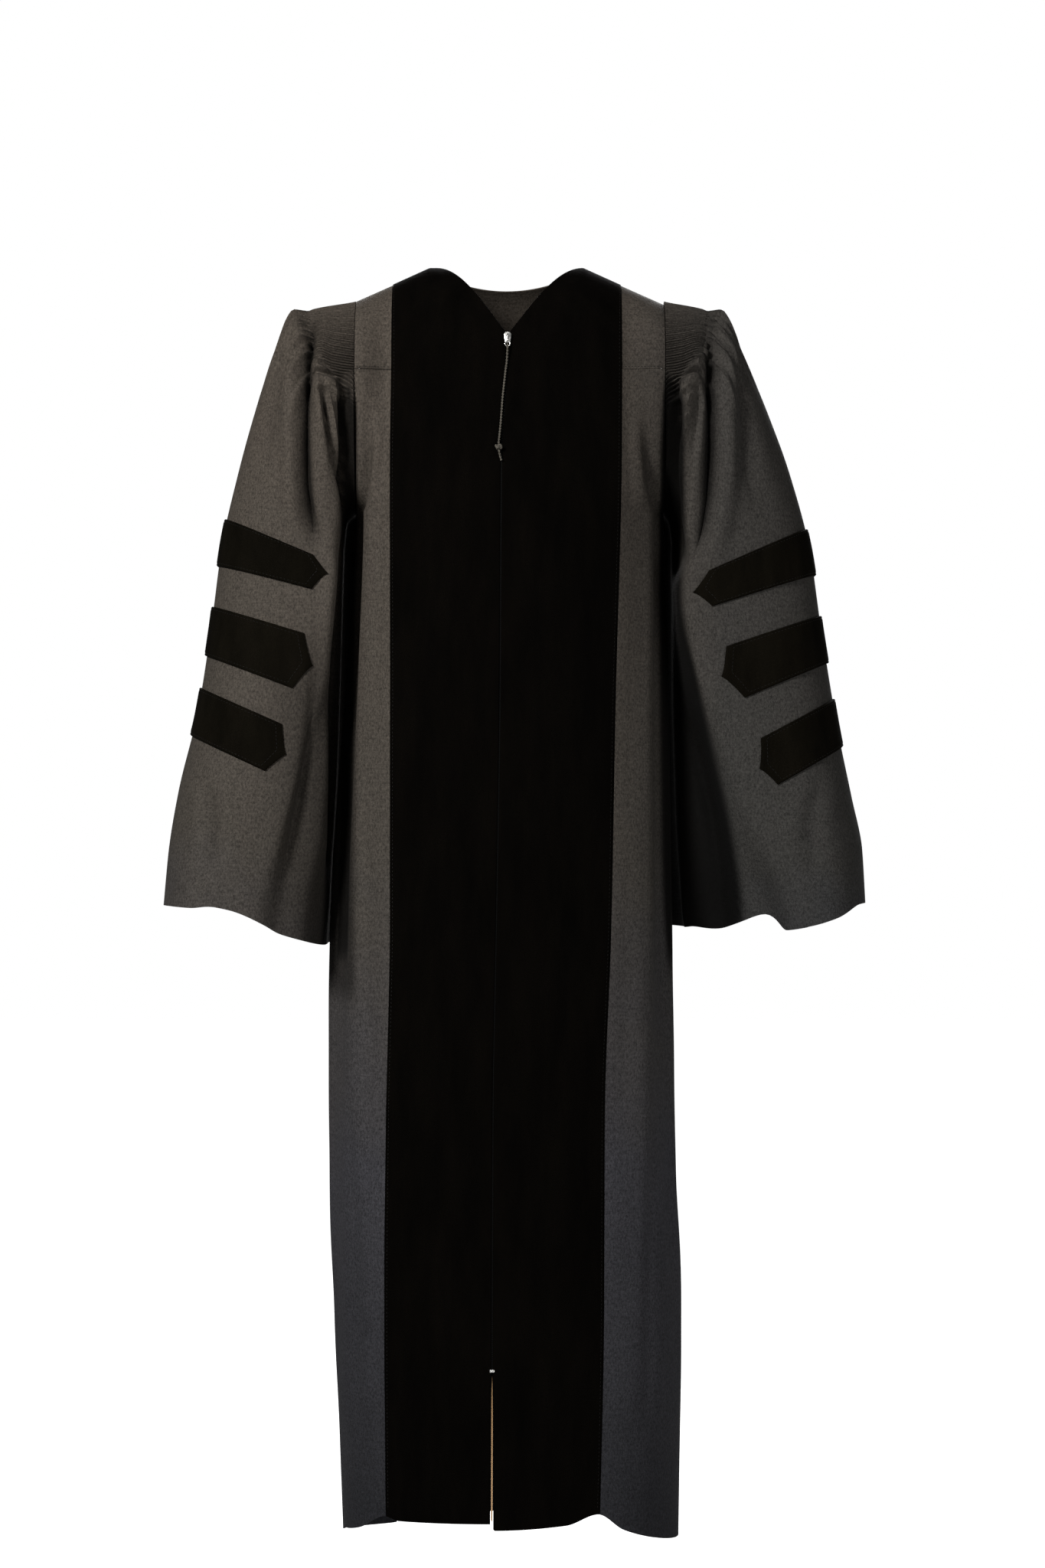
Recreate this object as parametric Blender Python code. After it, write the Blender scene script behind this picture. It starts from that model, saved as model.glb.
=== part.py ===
"""Doctoral gown, worn open-shaped with no wearer: body, yokes, bell sleeves, velvet fronts and sleeve bars, zip.

Metres, +Z up, front towards -Y, the wearer's left at +X. The origin is the middle of the shoulder line, where the
wearer's shoulders carry the gown. Each cloth piece is a wall on a smooth surface: a function gives the surface from a
few section tables, and wall() gives it a thickness.
"""

import math

import bmesh
import bpy
import numpy as np
from mathutils import Matrix, Vector

# Thicknesses, and the gap that two sewn pieces keep
SEAM = 0.0003
CLOTH = 0.0015
VELVET = 0.0024
TAPE = 0.0010

# The shoulder line, the neck and the seams that cross the body
NECK = 0.085
SHOULDER = 0.170
SHOULDER_SLOPE = 0.45
FRONT_YOKE_Z = -0.117
BACK_YOKE_Z = -0.155
UNDERARM_Z = -0.270
NECK_DIP = 0.50
HEM_Z = -1.372
HEM_RISE_FROM = -1.15
BACK_HEM_Z = -1.400

# The armhole's depth in front of and behind the shoulder line, and how the body's sides turn in to it, in degrees
ARM_FRONT = 0.080
ARM_BACK = 0.088
TURN_AT_YOKE = 20
TURN_AT_SIDE_SEAM = 90
SWEEP_REACH = 1.05

# The back is level in the middle: that share of its width reaches this far from the centre
BACK_LEVEL_SHARE = 0.6
BACK_LEVEL_REACH = 0.115

# The zip, whose lower end is above the hem, and the vent below it
ZIP_TOP_Z = -0.079
ZIP_END_Z = -1.205
ZIP_GAP = 0.0006
VENT_GAP = 0.0016
VENT_FADE = 0.02
TAPE_HALF_WIDTH = 0.012
NECK_ANGLE = math.acos(1 - ZIP_TOP_Z / FRONT_YOKE_Z)
NECKLINE_POWER = 0.9

SIDES = {"left": 1, "right": -1}
SQUARENESS = 2.6


def smooth_slopes(keys, values):
    """Slopes that never overshoot: the harmonic mean of the rises on both sides, or 0 where they turn."""
    rise = np.diff(values) / np.diff(keys)
    before, after = rise[:-1], rise[1:]
    same = before * after > 0
    middle = np.where(same, 2 * before * after / np.where(same, before + after, 1), 0)
    return np.concatenate([rise[:1], middle, rise[-1:]])


def hermite(t, a, b, slope_a, slope_b):
    """The cubic from a to b that leaves and arrives with the given slopes, at t from 0 to 1."""
    t2, t3 = t * t, t * t * t
    ends = (2 * t3 - 3 * t2 + 1) * a + (3 * t2 - 2 * t3) * b
    return ends + (t3 - 2 * t2 + t) * slope_a + (t3 - t2) * slope_b


class Table:
    """Rows of named columns. The first column is the key, and at() reads another between rows on a curve."""

    def __init__(self, columns, *rows):
        self.columns = columns.split()
        self.rows = np.array(sorted(rows), float)

    def at(self, column, key):
        keys = self.rows[:, 0]
        values = self.rows[:, self.columns.index(column)]
        slopes = smooth_slopes(keys, values)
        i = np.clip(np.searchsorted(keys, key) - 1, 0, len(keys) - 2)
        step = keys[i + 1] - keys[i]
        share = (key - keys[i]) / step
        return hermite(share, values[i], values[i + 1], step * slopes[i], step * slopes[i + 1])


BODY = Table(
    "z half_width front back centre",
    (-0.117, 0.170, 0.092, 0.100, 0.004),
    (-0.270, 0.170, 0.122, 0.130, 0.004),
    (-0.450, 0.175, 0.133, 0.142, 0.001),
    (-0.750, 0.187, 0.141, 0.160, -0.006),
    (-1.000, 0.189, 0.147, 0.177, -0.004),
    (-1.150, 0.191, 0.150, 0.187, 0.002),
    (-1.400, 0.185, 0.154, 0.200, 0.005),
)

FRONT_EDGES = Table(
    "z velvet_right velvet_left zip",
    (-0.117, -0.126, 0.127, 0.0015),
    (-0.220, -0.127, 0.126, -0.0050),
    (-0.480, -0.126, 0.119, -0.0065),
    (-0.730, -0.126, 0.114, -0.0105),
    (-0.930, -0.130, 0.107, -0.0140),
    (-1.150, -0.132, 0.106, -0.0148),
    (-1.400, -0.130, 0.101, -0.0155),
)

FRONT_HEM = Table(
    "x z",
    (-0.190, -1.397),
    (-0.160, -1.384),
    (-0.131, -1.367),
    (-0.115, -1.371),
    (-0.018, -1.371),
    (-0.012, -1.378),
    (0.065, -1.373),
    (0.099, -1.362),
    (0.128, -1.381),
    (0.190, -1.405),
)

# Soft folds of the grey fronts. Across runs from 0 at the velvet to 1 at the side; a ridge is positive.
# Each grows in and dies away over these lengths.
FRONT_FOLD_START = 0.12
FRONT_FOLD_FADE = 0.25
FRONT_FOLDS = (
    dict(across=0.34, width=0.22, depth=0.006, top=-0.14, end=-1.10),
    dict(across=0.60, width=0.24, depth=-0.008, top=-0.14, end=-0.95),
    dict(across=0.84, width=0.14, depth=0.004, top=-0.30, end=-1.30),
)

# Folds that hang from the back yoke and deepen towards the hem. Across runs from -1 at the right side to 1.
BACK_FOLD_GROWTH = 0.8
BACK_FOLD_MIDDLE = 0.35
BACK_SIDE_FADE = 0.08
BACK_FOLDS = (
    dict(across=-0.82, width=0.15, depth=0.012, top=-0.24),
    dict(across=-0.55, width=0.15, depth=0.026, top=-0.16),
    dict(across=-0.27, width=0.14, depth=0.030, top=-0.16),
    dict(across=0.01, width=0.15, depth=0.026, top=-0.16),
    dict(across=0.28, width=0.14, depth=0.031, top=-0.16),
    dict(across=0.55, width=0.15, depth=0.027, top=-0.16),
    dict(across=0.82, width=0.15, depth=0.013, top=-0.24),
)
BACK_GATHERS = 24
BACK_GATHER_DEPTH = 0.0016
BACK_GATHER_DROP = 0.10
BACK_GATHER_FADE = 0.15

# Sleeve rings, keyed by the length down the outer line. A ring runs from its outer point, over the front, to
# its inner point beside the body and back behind; the front is deepest at front_share of the way in.
SLEEVES = {
    "right": Table(
        "down out_x out_z in_x in_z front_share front back",
        (0.000, 0.166, -0.038, 0.166, -0.270, 0.34, 0.080, 0.088),
        (0.050, 0.224, -0.050, 0.177, -0.282, 0.42, 0.093, 0.099),
        (0.106, 0.254, -0.098, 0.179, -0.292, 0.52, 0.097, 0.105),
        (0.178, 0.279, -0.164, 0.180, -0.302, 0.66, 0.096, 0.109),
        (0.249, 0.298, -0.231, 0.181, -0.318, 0.80, 0.093, 0.111),
        (0.327, 0.315, -0.304, 0.182, -0.346, 0.91, 0.092, 0.113),
        (0.423, 0.328, -0.403, 0.185, -0.452, 0.82, 0.098, 0.120),
        (0.511, 0.342, -0.492, 0.189, -0.564, 0.67, 0.108, 0.129),
        (0.600, 0.363, -0.580, 0.194, -0.650, 0.52, 0.120, 0.142),
        (0.665, 0.374, -0.647, 0.197, -0.706, 0.42, 0.127, 0.150),
        (0.723, 0.379, -0.707, 0.200, -0.750, 0.36, 0.131, 0.156),
    ),
    "left": Table(
        "down out_x out_z in_x in_z front_share front back",
        (0.000, 0.174, -0.038, 0.174, -0.270, 0.34, 0.080, 0.088),
        (0.050, 0.227, -0.050, 0.181, -0.283, 0.42, 0.093, 0.099),
        (0.106, 0.258, -0.098, 0.183, -0.294, 0.52, 0.097, 0.105),
        (0.178, 0.290, -0.164, 0.184, -0.306, 0.64, 0.096, 0.109),
        (0.249, 0.315, -0.231, 0.184, -0.330, 0.77, 0.093, 0.111),
        (0.338, 0.337, -0.315, 0.184, -0.370, 0.87, 0.092, 0.113),
        (0.436, 0.351, -0.412, 0.185, -0.473, 0.70, 0.098, 0.120),
        (0.529, 0.366, -0.504, 0.189, -0.605, 0.51, 0.108, 0.131),
        (0.610, 0.382, -0.585, 0.194, -0.680, 0.43, 0.120, 0.142),
        (0.670, 0.394, -0.645, 0.197, -0.720, 0.38, 0.127, 0.150),
        (0.731, 0.397, -0.704, 0.199, -0.731, 0.35, 0.131, 0.156),
    ),
}
# The wall behind a sleeve's inner point is tucked in towards the body, which closes the view between the two. The
# left sleeve's wall before that point is hollow too, more so towards the cuff.
INNER_WALLS = Table(
    "down hollow_right hollow_left tuck_right tuck_left",
    (0.000, 0.00, 0.00, 0.000, 0.000),
    (0.050, 0.00, 0.00, 0.006, 0.006),
    (0.106, 0.00, 0.00, 0.018, 0.016),
    (0.178, 0.00, 0.00, 0.025, 0.022),
    (0.249, 0.00, 0.00, 0.025, 0.023),
    (0.338, 0.00, 0.00, 0.024, 0.021),
    (0.436, 0.00, 0.00, 0.021, 0.020),
    (0.529, 0.00, 0.10, 0.018, 0.022),
    (0.610, 0.00, 0.40, 0.016, 0.025),
    (0.670, 0.00, 0.75, 0.016, 0.029),
    (0.731, 0.00, 0.90, 0.017, 0.031),
)
TUCK_TURN = 0.585
TUCK_WIDTH = 0.075
# How far each sleeve's open end hangs below its flat ring, by its share of the turn
CUFF_SAG = Table(
    "turn right left",
    (-0.01, 0.000, 0.000),
    (0.10, -0.004, -0.002),
    (0.19, -0.009, 0.009),
    (0.26, -0.017, 0.014),
    (0.31, -0.010, 0.015),
    (0.35, -0.004, -0.004),
    (0.40, -0.001, 0.006),
    (0.46, 0.000, 0.000),
    (0.60, -0.004, 0.000),
    (0.69, -0.010, -0.002),
    (0.76, -0.021, 0.000),
    (0.83, -0.014, 0.002),
    (0.91, -0.006, -0.002),
    (1.01, 0.000, 0.000),
)
CUFF_SAG_LENGTH = 0.13
BACK_SHARE = 0.50
SLEEVE_SQUARENESS = 2.5
SQUARE_FROM = 0.3

# Folds that fall from the sleeve heads. Turn is a share of the ring: 0 outer line, 0.25 front, 0.5 at the body.
SLEEVE_FOLD_START = 0.08
SLEEVE_FOLD_FADE = 0.14
SLEEVE_FOLDS = (
    dict(turn=0.085, drift=-0.010, width=0.040, depth=-0.007, top=0.05, end=0.36),
    dict(turn=0.165, drift=0.020, width=0.032, depth=-0.012, top=0.04, end=0.40),
    dict(turn=0.225, drift=0.030, width=0.028, depth=-0.009, top=0.04, end=0.38),
    dict(turn=0.780, drift=-0.030, width=0.030, depth=-0.009, top=0.04, end=0.40),
    dict(turn=0.845, drift=-0.020, width=0.035, depth=-0.012, top=0.04, end=0.42),
    dict(turn=0.915, drift=0.010, width=0.040, depth=-0.007, top=0.05, end=0.36),
    dict(turn=0.330, drift=0.020, width=0.050, depth=-0.010, top=0.42, end=0.95),
    dict(turn=0.690, drift=0.000, width=0.060, depth=-0.014, top=0.40, end=0.95),
)
# The gathers of the sleeve heads leave the ring plain up to this far from the point beside the body
FLUTES = 48
PLAIN_TURN = 0.19
PLAIN_FADE = 0.05
FLUTE_DEPTH = Table(
    "down depth",
    (-0.010, 0.0012),
    (0.045, 0.0022),
    (0.085, 0.0010),
    (0.130, 0.0000),
    (0.750, 0.0000),
)

# Velvet bars round the outside of each sleeve, pointed at both ends
BAR_HEIGHT = 0.053
BAR_CENTRES = {
    "right": {"upper": 0.327, "middle": 0.423, "lower": 0.511},
    "left": {"upper": 0.338, "middle": 0.436, "lower": 0.529},
}
BAR_LIFT = 0.0006

# Steps and rows of the surfaces
SLEEVE_STEPS = 48
HEAD_ROWS = (0.0, 0.040, 0.085)
ARM_ROWS = (0.135, 0.215)
CUFF_SHARES = (0.36, 0.70, 1.0)
FRONT_STEPS = 8
VELVET_STEPS = 4
BACK_STEPS = 48
BACK_YOKE_HALF = (0.09, 0.18, 0.27, 0.36, 0.4435, 0.52, 0.60, 0.70, 0.80, 0.90, 1.0)
YOKE_ANGLES = (0.0, 0.33, 0.66, 0.95)
YOKE_SHARES = (0.0, 0.25, 0.5, 0.75, 1.0)
ARMHOLE_ROWS = (-0.155, -0.200, -0.238, -0.260, UNDERARM_Z)
SKIRT_ROWS = (-0.330, -0.420, -0.540, -0.680, -0.820, -0.960, -1.090, ZIP_END_Z, -1.290, HEM_Z)

# The slider with its ring, the stop at the zip's end, and the cord pull
SLIDER_SIZE = (0.0080, 0.0030, 0.0120)
SLIDER_Z = -0.0850
RING_RADIUS = 0.0027
RING_WIRE = 0.0006
STOP_SIZE = (0.0050, 0.0014, 0.0030)
CORD_RADIUS = 0.0012
CORD_STEPS = 27
KNOT_AT = 0.119
KNOT_RADIUS = 0.0028
KNOT_WIRE = 0.0013
CORD_ROUTE = Table(
    "length x z stand_off",
    (0.000, 0.0017, -0.0926, 0.0017),
    (0.002, 0.0017, -0.0927, 0.0036),
    (0.005, 0.0016, -0.0950, 0.0053),
    (0.010, 0.0013, -0.0995, 0.0046),
    (0.018, 0.0008, -0.1078, 0.0024),
    (0.035, -0.0010, -0.1245, 0.0016),
    (0.065, -0.0040, -0.1540, 0.0016),
    (0.090, -0.0058, -0.1788, 0.0018),
    (0.106, -0.0072, -0.1942, 0.0028),
    (0.119, -0.0082, -0.2067, 0.0045),
    (0.127, -0.0070, -0.2145, 0.0036),
    (0.134, -0.0052, -0.2210, 0.0022),
)


def ease(t):
    """0 up to t = 0 and 1 from t = 1, with a smooth rise between."""
    t = np.clip(t, 0, 1)
    return t * t * (3 - 2 * t)


def bump(distance, width):
    """1 at distance 0, falling smoothly to 0 at width."""
    return (1 + np.cos(np.pi * np.clip(np.abs(distance) / width, 0, 1))) / 2


def stack(x, y, z):
    return np.stack(np.broadcast_arrays(x, y, z), axis=-1)


def normals(surface, u, v, sign):
    """Unit normals of a surface function at (u, v). sign is 1 where du x dv points outwards."""
    step = 1e-4
    across = surface(u + step, v) - surface(u - step, v)
    along = surface(u, v + step) - surface(u, v - step)
    n = np.cross(across, along) * sign
    return n / np.linalg.norm(n, axis=-1, keepdims=True)


def shoulder_ridge(x):
    """Height of the shoulder line, level at the neck and sloping down to the armhole."""
    return -SHOULDER_SLOPE * np.clip(np.abs(x) - NECK, 0, None)


def hem_drop(hem_line, z):
    """How far a hem that lies at hem_line, and not at HEM_Z, moves a row at height z."""
    share = np.clip((HEM_RISE_FROM - z) / (HEM_RISE_FROM - HEM_Z), 0, 1)
    return (hem_line - HEM_Z) * share


def body_depth(side_of_body, x, z):
    """Distance of the body's front or back from the shoulder plane, x being measured from the body's centre."""
    reach = np.clip(np.abs(x) / BODY.at("half_width", z), 0, 0.98)
    return BODY.at(side_of_body, z) * (1 - reach**SQUARENESS) ** (1 / SQUARENESS)


def side_edge(z, arm_depth, seam_z):
    """(x, depth, turn) where a front or back ends: on the armhole, or below it on the side seam."""
    share = np.clip((seam_z - z) / (seam_z - UNDERARM_Z), 0, 1)
    turn = np.radians(TURN_AT_YOKE + (TURN_AT_SIDE_SEAM - TURN_AT_YOKE) * share)
    return BODY.at("half_width", z), arm_depth * np.sqrt(1 - share**2), turn


def side_sweep(part, start, z, across, arm_depth, seam_z):
    """(x, depth) from a point on the front or back round to its side edge, across from 0 to 1."""
    step = 1e-4
    depth = body_depth(part, start, z)
    slope = (body_depth(part, start + step, z) - body_depth(part, start - step, z)) / (2 * step)
    out_x, out_depth, turn = side_edge(z, arm_depth, seam_z)
    reach = np.hypot(out_x - start, depth - out_depth) * SWEEP_REACH
    steep = reach / np.hypot(1, slope)
    x = hermite(across, start, out_x, steep, reach * np.cos(turn))
    d = hermite(across, depth, out_depth, steep * slope, -reach * np.sin(turn))
    return x, d


def velvet_edge(side, z):
    """The velvet's outer edge, measured outwards from the body's centre."""
    name = "velvet_left" if side > 0 else "velvet_right"
    return side * (FRONT_EDGES.at(name, z) - BODY.at("centre", z))


def zip_line(side, z):
    return side * (FRONT_EDGES.at("zip", z) - BODY.at("centre", z))


def plain_front(side, across, z):
    x, depth = side_sweep("front", velvet_edge(side, z), z, across, ARM_FRONT, FRONT_YOKE_Z)
    world_x = BODY.at("centre", z) + side * x
    return stack(world_x, -depth, z + hem_drop(FRONT_HEM.at("z", world_x), z))


def front_surface(side):
    """The grey front: across from 0 at the velvet to 1 at the side, z as its rows' height."""

    def surface(across, z):
        plain = plain_front(side, across, z)
        out = normals(lambda u, v: plain_front(side, u, v), across, z, side)
        depth = 0
        for fold in FRONT_FOLDS:
            fade = ease((fold["top"] - z) / FRONT_FOLD_START) * ease((z - fold["end"]) / FRONT_FOLD_FADE)
            depth = depth + fold["depth"] * fade * bump(across - fold["across"], fold["width"])
        return plain + out * np.asarray(depth)[..., None]

    return surface


def arch(base, angle):
    """A seam's point carried up over the shoulder: angle pi/2 is the seam itself, and 0 the shoulder line."""
    x, y, z = base[..., 0], base[..., 1], base[..., 2]
    ridge = shoulder_ridge(x)
    return stack(x, y * np.sin(angle), ridge + (z - ridge) * (1 - np.cos(angle)))


def along_at(angle):
    """The velvet's along value for an angle of the arch. Below the yoke seam, along is a height."""
    return FRONT_YOKE_Z + np.pi / 2 - angle


def middle_front(x, along):
    """The middle of the front, where the velvet lies: world x, and along as along_at() gives it."""
    z = np.minimum(along, FRONT_YOKE_Z)
    angle = np.pi / 2 - np.clip(along - FRONT_YOKE_Z, 0, np.pi / 2)
    depth = body_depth("front", x - BODY.at("centre", z), z)
    return arch(stack(x, -depth, z + hem_drop(FRONT_HEM.at("z", x), z)), angle)


def velvet_surface(side):
    """The velvet front, across from 0 at the zip or the neckline to 1 at its outer edge."""

    def surface(across, along):
        z = np.minimum(along, FRONT_YOKE_Z)
        neckline = np.clip((along - along_at(NECK_ANGLE)) / NECK_ANGLE, 0, 1) ** NECKLINE_POWER
        gap = ZIP_GAP + (VENT_GAP - ZIP_GAP) * ease((ZIP_END_Z - z) / VENT_FADE)
        inner = zip_line(side, z) + gap
        inner = inner + (NECK - inner) * neckline
        outer = velvet_edge(side, z) - SEAM
        return middle_front(BODY.at("centre", z) + side * (inner + (outer - inner) * across), along)

    return surface


def tape_surface(offset, along):
    """The zip tape, offset being measured from the zip's line."""
    return middle_front(FRONT_EDGES.at("zip", np.minimum(along, FRONT_YOKE_Z)) + offset, along)


def yoke_front_surface(side):
    def surface(across, angle):
        return arch(plain_front(side, across, FRONT_YOKE_Z + 0 * across), angle)

    return surface


def plain_back(across, z):
    """The back before it is gathered: across from -1 at the right side seam to 1 at the left."""
    reach = np.abs(across)
    outer_share = np.clip((reach - BACK_LEVEL_SHARE) / (1 - BACK_LEVEL_SHARE), 0, None)
    swept_x, swept_depth = side_sweep("back", BACK_LEVEL_REACH, z, outer_share, ARM_BACK, BACK_YOKE_Z)
    level_x = BACK_LEVEL_REACH * reach / BACK_LEVEL_SHARE
    inside = reach < BACK_LEVEL_SHARE
    x = np.where(inside, level_x, swept_x)
    depth = np.where(inside, body_depth("back", level_x, z), swept_depth)
    return stack(BODY.at("centre", z) + np.sign(across) * x, depth, z + hem_drop(BACK_HEM_Z, z))


def back_surface(across, z):
    plain = plain_back(across, z)
    out = normals(plain_back, across, z, -1)
    near_seam = bump(z - BACK_YOKE_Z, BACK_GATHER_DROP) * ease((1 - np.abs(across)) / BACK_GATHER_FADE)
    depth = BACK_GATHER_DEPTH * np.cos(np.pi * BACK_GATHERS * across) * near_seam
    for fold in BACK_FOLDS:
        growth = np.clip((fold["top"] - z) / (fold["top"] - HEM_Z), 0, 1) ** BACK_FOLD_GROWTH
        swell = bump(across - fold["across"], fold["width"]) - BACK_FOLD_MIDDLE
        depth = depth + fold["depth"] * growth * swell
    depth = depth * ease((1 - np.abs(across)) / BACK_SIDE_FADE)
    return plain + out * depth[..., None]


def yoke_back_surface(across, share):
    """The back yoke, from its neckline and shoulder line at share 0 down to its seam at share 1."""
    base = plain_back(across, BACK_YOKE_Z + 0 * across)
    top = NECK_DIP * np.sqrt(np.clip(1 - (base[..., 0] / NECK) ** 2, 0, 1))
    return arch(base, top + share * (np.pi / 2 - top))


def plain_sleeve(name, turn, down):
    """A sleeve with no folds, turn being a share of the ring from its outer line over the front."""
    sizes = SLEEVES[name]
    out_x, out_z, in_x, in_z = (sizes.at(column, down) for column in ("out_x", "out_z", "in_x", "in_z"))
    angle = 2 * np.pi * turn
    power = 2 / (2 + (SLEEVE_SQUARENESS - 2) * ease(down / SQUARE_FROM))
    in_front = np.sin(angle) > 0
    power = power + np.where(in_front & (np.cos(angle) < 0), INNER_WALLS.at(f"hollow_{name}", down), 0)
    inwards = np.sign(np.cos(angle)) * np.abs(np.cos(angle)) ** power
    forwards = np.abs(np.sin(angle)) ** power
    share = np.where(in_front, sizes.at("front_share", down), BACK_SHARE)
    depth = np.where(in_front, -sizes.at("front", down), sizes.at("back", down))
    share = share * (1 - np.clip(inwards, 0, 1)) + (1 - share) * np.clip(-inwards, 0, 1)
    x = out_x + (in_x - out_x) * share
    x = x - INNER_WALLS.at(f"tuck_{name}", down) * bump(turn % 1 - TUCK_TURN, TUCK_WIDTH)
    sag = CUFF_SAG.at(name, turn % 1) * ease((down - sizes.rows[-3, 0]) / CUFF_SAG_LENGTH)
    z = out_z + (in_z - out_z) * share - sag
    return stack(SIDES[name] * x, depth * forwards, z)


def sleeve_surface(name):
    side = SIDES[name]

    def surface(turn, down):
        plain = plain_sleeve(name, turn, down)
        out = normals(lambda u, v: plain_sleeve(name, u, v), turn, down, side)
        gathered = ease((np.abs(turn % 1 - 0.5) - PLAIN_TURN) / PLAIN_FADE)
        depth = FLUTE_DEPTH.at("depth", down) * np.cos(2 * np.pi * FLUTES * turn) * gathered
        for fold in SLEEVE_FOLDS:
            top, end = fold["top"], fold["end"]
            middle = fold["turn"] + fold["drift"] * (down - top) / (end - top)
            fade = ease((down - top) / SLEEVE_FOLD_START) * ease((end - down) / SLEEVE_FOLD_FADE)
            depth = depth + fold["depth"] * fade * bump((turn - middle + 0.5) % 1 - 0.5, fold["width"])
        return plain + out * depth[..., None]

    return surface


def material(name, colour, roughness, metallic=0.0):
    made = bpy.data.materials.new(name)
    made.use_nodes = True
    shader = made.node_tree.nodes["Principled BSDF"]
    shader.inputs["Base Color"].default_value = (*colour, 1)
    shader.inputs["Roughness"].default_value = roughness
    shader.inputs["Metallic"].default_value = metallic
    return made


def add_object(name, mesh, finish):
    mesh.shade_smooth()
    mesh.set_sharp_from_angle(angle=math.radians(50))
    mesh.materials.append(finish)
    made = bpy.data.objects.new(name, mesh)
    bpy.context.scene.collection.objects.link(made)
    return made


def from_bmesh(name, source, finish):
    bmesh.ops.recalc_face_normals(source, faces=source.faces)
    mesh = bpy.data.meshes.new(name)
    source.to_mesh(mesh)
    source.free()
    return add_object(name, mesh, finish)


def numbered(lengths):
    """Point numbers for rows of these lengths."""
    starts = np.concatenate([[0], np.cumsum(lengths)]).tolist()
    return [list(range(a, b)) for a, b in zip(starts, starts[1:])]


def lattice_faces(rows, around=False):
    """Triangles between rows of point numbers. A row may have half as many steps as the one before it."""
    faces = []
    for near, far in zip(rows, rows[1:]):
        for k in range(len(far) - (not around)):
            a, b = far[k], far[(k + 1) % len(far)]
            if len(near) > len(far):
                c, d, e = near[2 * k], near[2 * k + 1], near[(2 * k + 2) % len(near)]
                faces += [(c, d, a), (d, b, a), (d, e, b)]
            else:
                c, e = near[k], near[(k + 1) % len(near)]
                faces += [(c, e, a), (e, b, a)]
    return faces


def layer(surface, rows, sign, offset):
    """Points of a surface moved out by an offset. Each row is its u values and its v."""
    made = []
    for u, v in rows:
        v = np.full(len(u), float(v))
        made.append(surface(u, v) + offset * normals(surface, u, v, sign))
    return np.concatenate(made)


def thick(name, finish, outer, inner, faces):
    """A closed solid between two layers of points that share their faces."""
    count = len(outer)
    edges = {edge for a, b, c in faces for edge in ((a, b), (b, c), (c, a))}
    shell = faces + [(c + count, b + count, a + count) for a, b, c in faces]
    for a, b in sorted(edges):
        if (b, a) not in edges:
            shell += [(b, a, a + count), (b, a + count, b + count)]
    made = bmesh.new()
    points = [made.verts.new(p) for p in np.concatenate([outer, inner])]
    for face in shell:
        made.faces.new([points[i] for i in face])
    return from_bmesh(name, made, finish)


def wall(name, finish, surface, rows, sign, low, high, faces=None, lowest=-np.inf, highest=np.inf):
    """A wall between two offsets of a surface, kept between two corners of a box."""
    faces = faces or lattice_faces(numbered([len(u) for u, _ in rows]))
    outer, inner = (np.clip(layer(surface, rows, sign, offset), lowest, highest) for offset in (high, low))
    return thick(name, finish, outer, inner, faces)


def add_fronts(cloth):
    across = np.linspace(0, 1, FRONT_STEPS + 1)
    rows = [(across, z) for z in (FRONT_YOKE_Z, *ARMHOLE_ROWS, *SKIRT_ROWS)]
    highest = (np.inf, -SEAM / 2, FRONT_YOKE_Z - SEAM)
    for name, side in SIDES.items():
        wall(f"front_{name}", cloth, front_surface(side), rows, side, -CLOTH / 2, CLOTH / 2, highest=highest)


def add_velvets(velvet):
    across = np.linspace(0, 1, VELVET_STEPS + 1)
    angles = (*YOKE_ANGLES, NECK_ANGLE, np.pi / 2)
    rows = [(across, v) for v in (*map(along_at, angles), *ARMHOLE_ROWS, *SKIRT_ROWS)]
    highest = (np.inf, -SEAM / 2, np.inf)
    for name, side in SIDES.items():
        surface = velvet_surface(side)
        wall(f"velvet_{name}", velvet, surface, rows, side, -CLOTH / 2, VELVET - CLOTH / 2, highest=highest)


def add_yokes(cloth):
    across = np.linspace(0, 1, FRONT_STEPS + 1)
    rows = [(across, angle) for angle in (*YOKE_ANGLES, NECK_ANGLE, np.pi / 2)]
    lowest = (-np.inf, -np.inf, FRONT_YOKE_Z)
    highest = (np.inf, -SEAM / 2, np.inf)
    for name, side in SIDES.items():
        surface = yoke_front_surface(side)
        wall(f"yoke_front_{name}", cloth, surface, rows, -side, -CLOTH / 2, CLOTH / 2, None, lowest, highest)
    half = np.array(BACK_YOKE_HALF)
    rows = [(np.concatenate([-half[::-1], [0], half]), share) for share in YOKE_SHARES]
    lowest = (-np.inf, SEAM / 2, BACK_YOKE_Z)
    wall("yoke_back", cloth, yoke_back_surface, rows, 1, -CLOTH / 2, CLOTH / 2, lowest=lowest)


def add_back(cloth):
    across = np.linspace(-1, 1, BACK_STEPS + 1)
    rows = [(across, z) for z in (BACK_YOKE_Z, *ARMHOLE_ROWS[1:3], UNDERARM_Z, *SKIRT_ROWS)]
    lowest = (-np.inf, SEAM / 2, -np.inf)
    highest = (np.inf, np.inf, BACK_YOKE_Z - SEAM)
    wall("back_panel", cloth, back_surface, rows, -1, -CLOTH / 2, CLOTH / 2, None, lowest, highest)


def bar_rows(centre):
    return centre - BAR_HEIGHT / 2, centre, centre + BAR_HEIGHT / 2


def sleeve_downs(name):
    """The heights of the sleeve's lattice below its gathered head, as lengths down its outer line."""
    bars = [down for centre in BAR_CENTRES[name].values() for down in bar_rows(centre)]
    end = SLEEVES[name].rows[-1, 0]
    return [*ARM_ROWS, *bars, *(bars[-1] + (end - bars[-1]) * share for share in CUFF_SHARES)]


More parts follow.
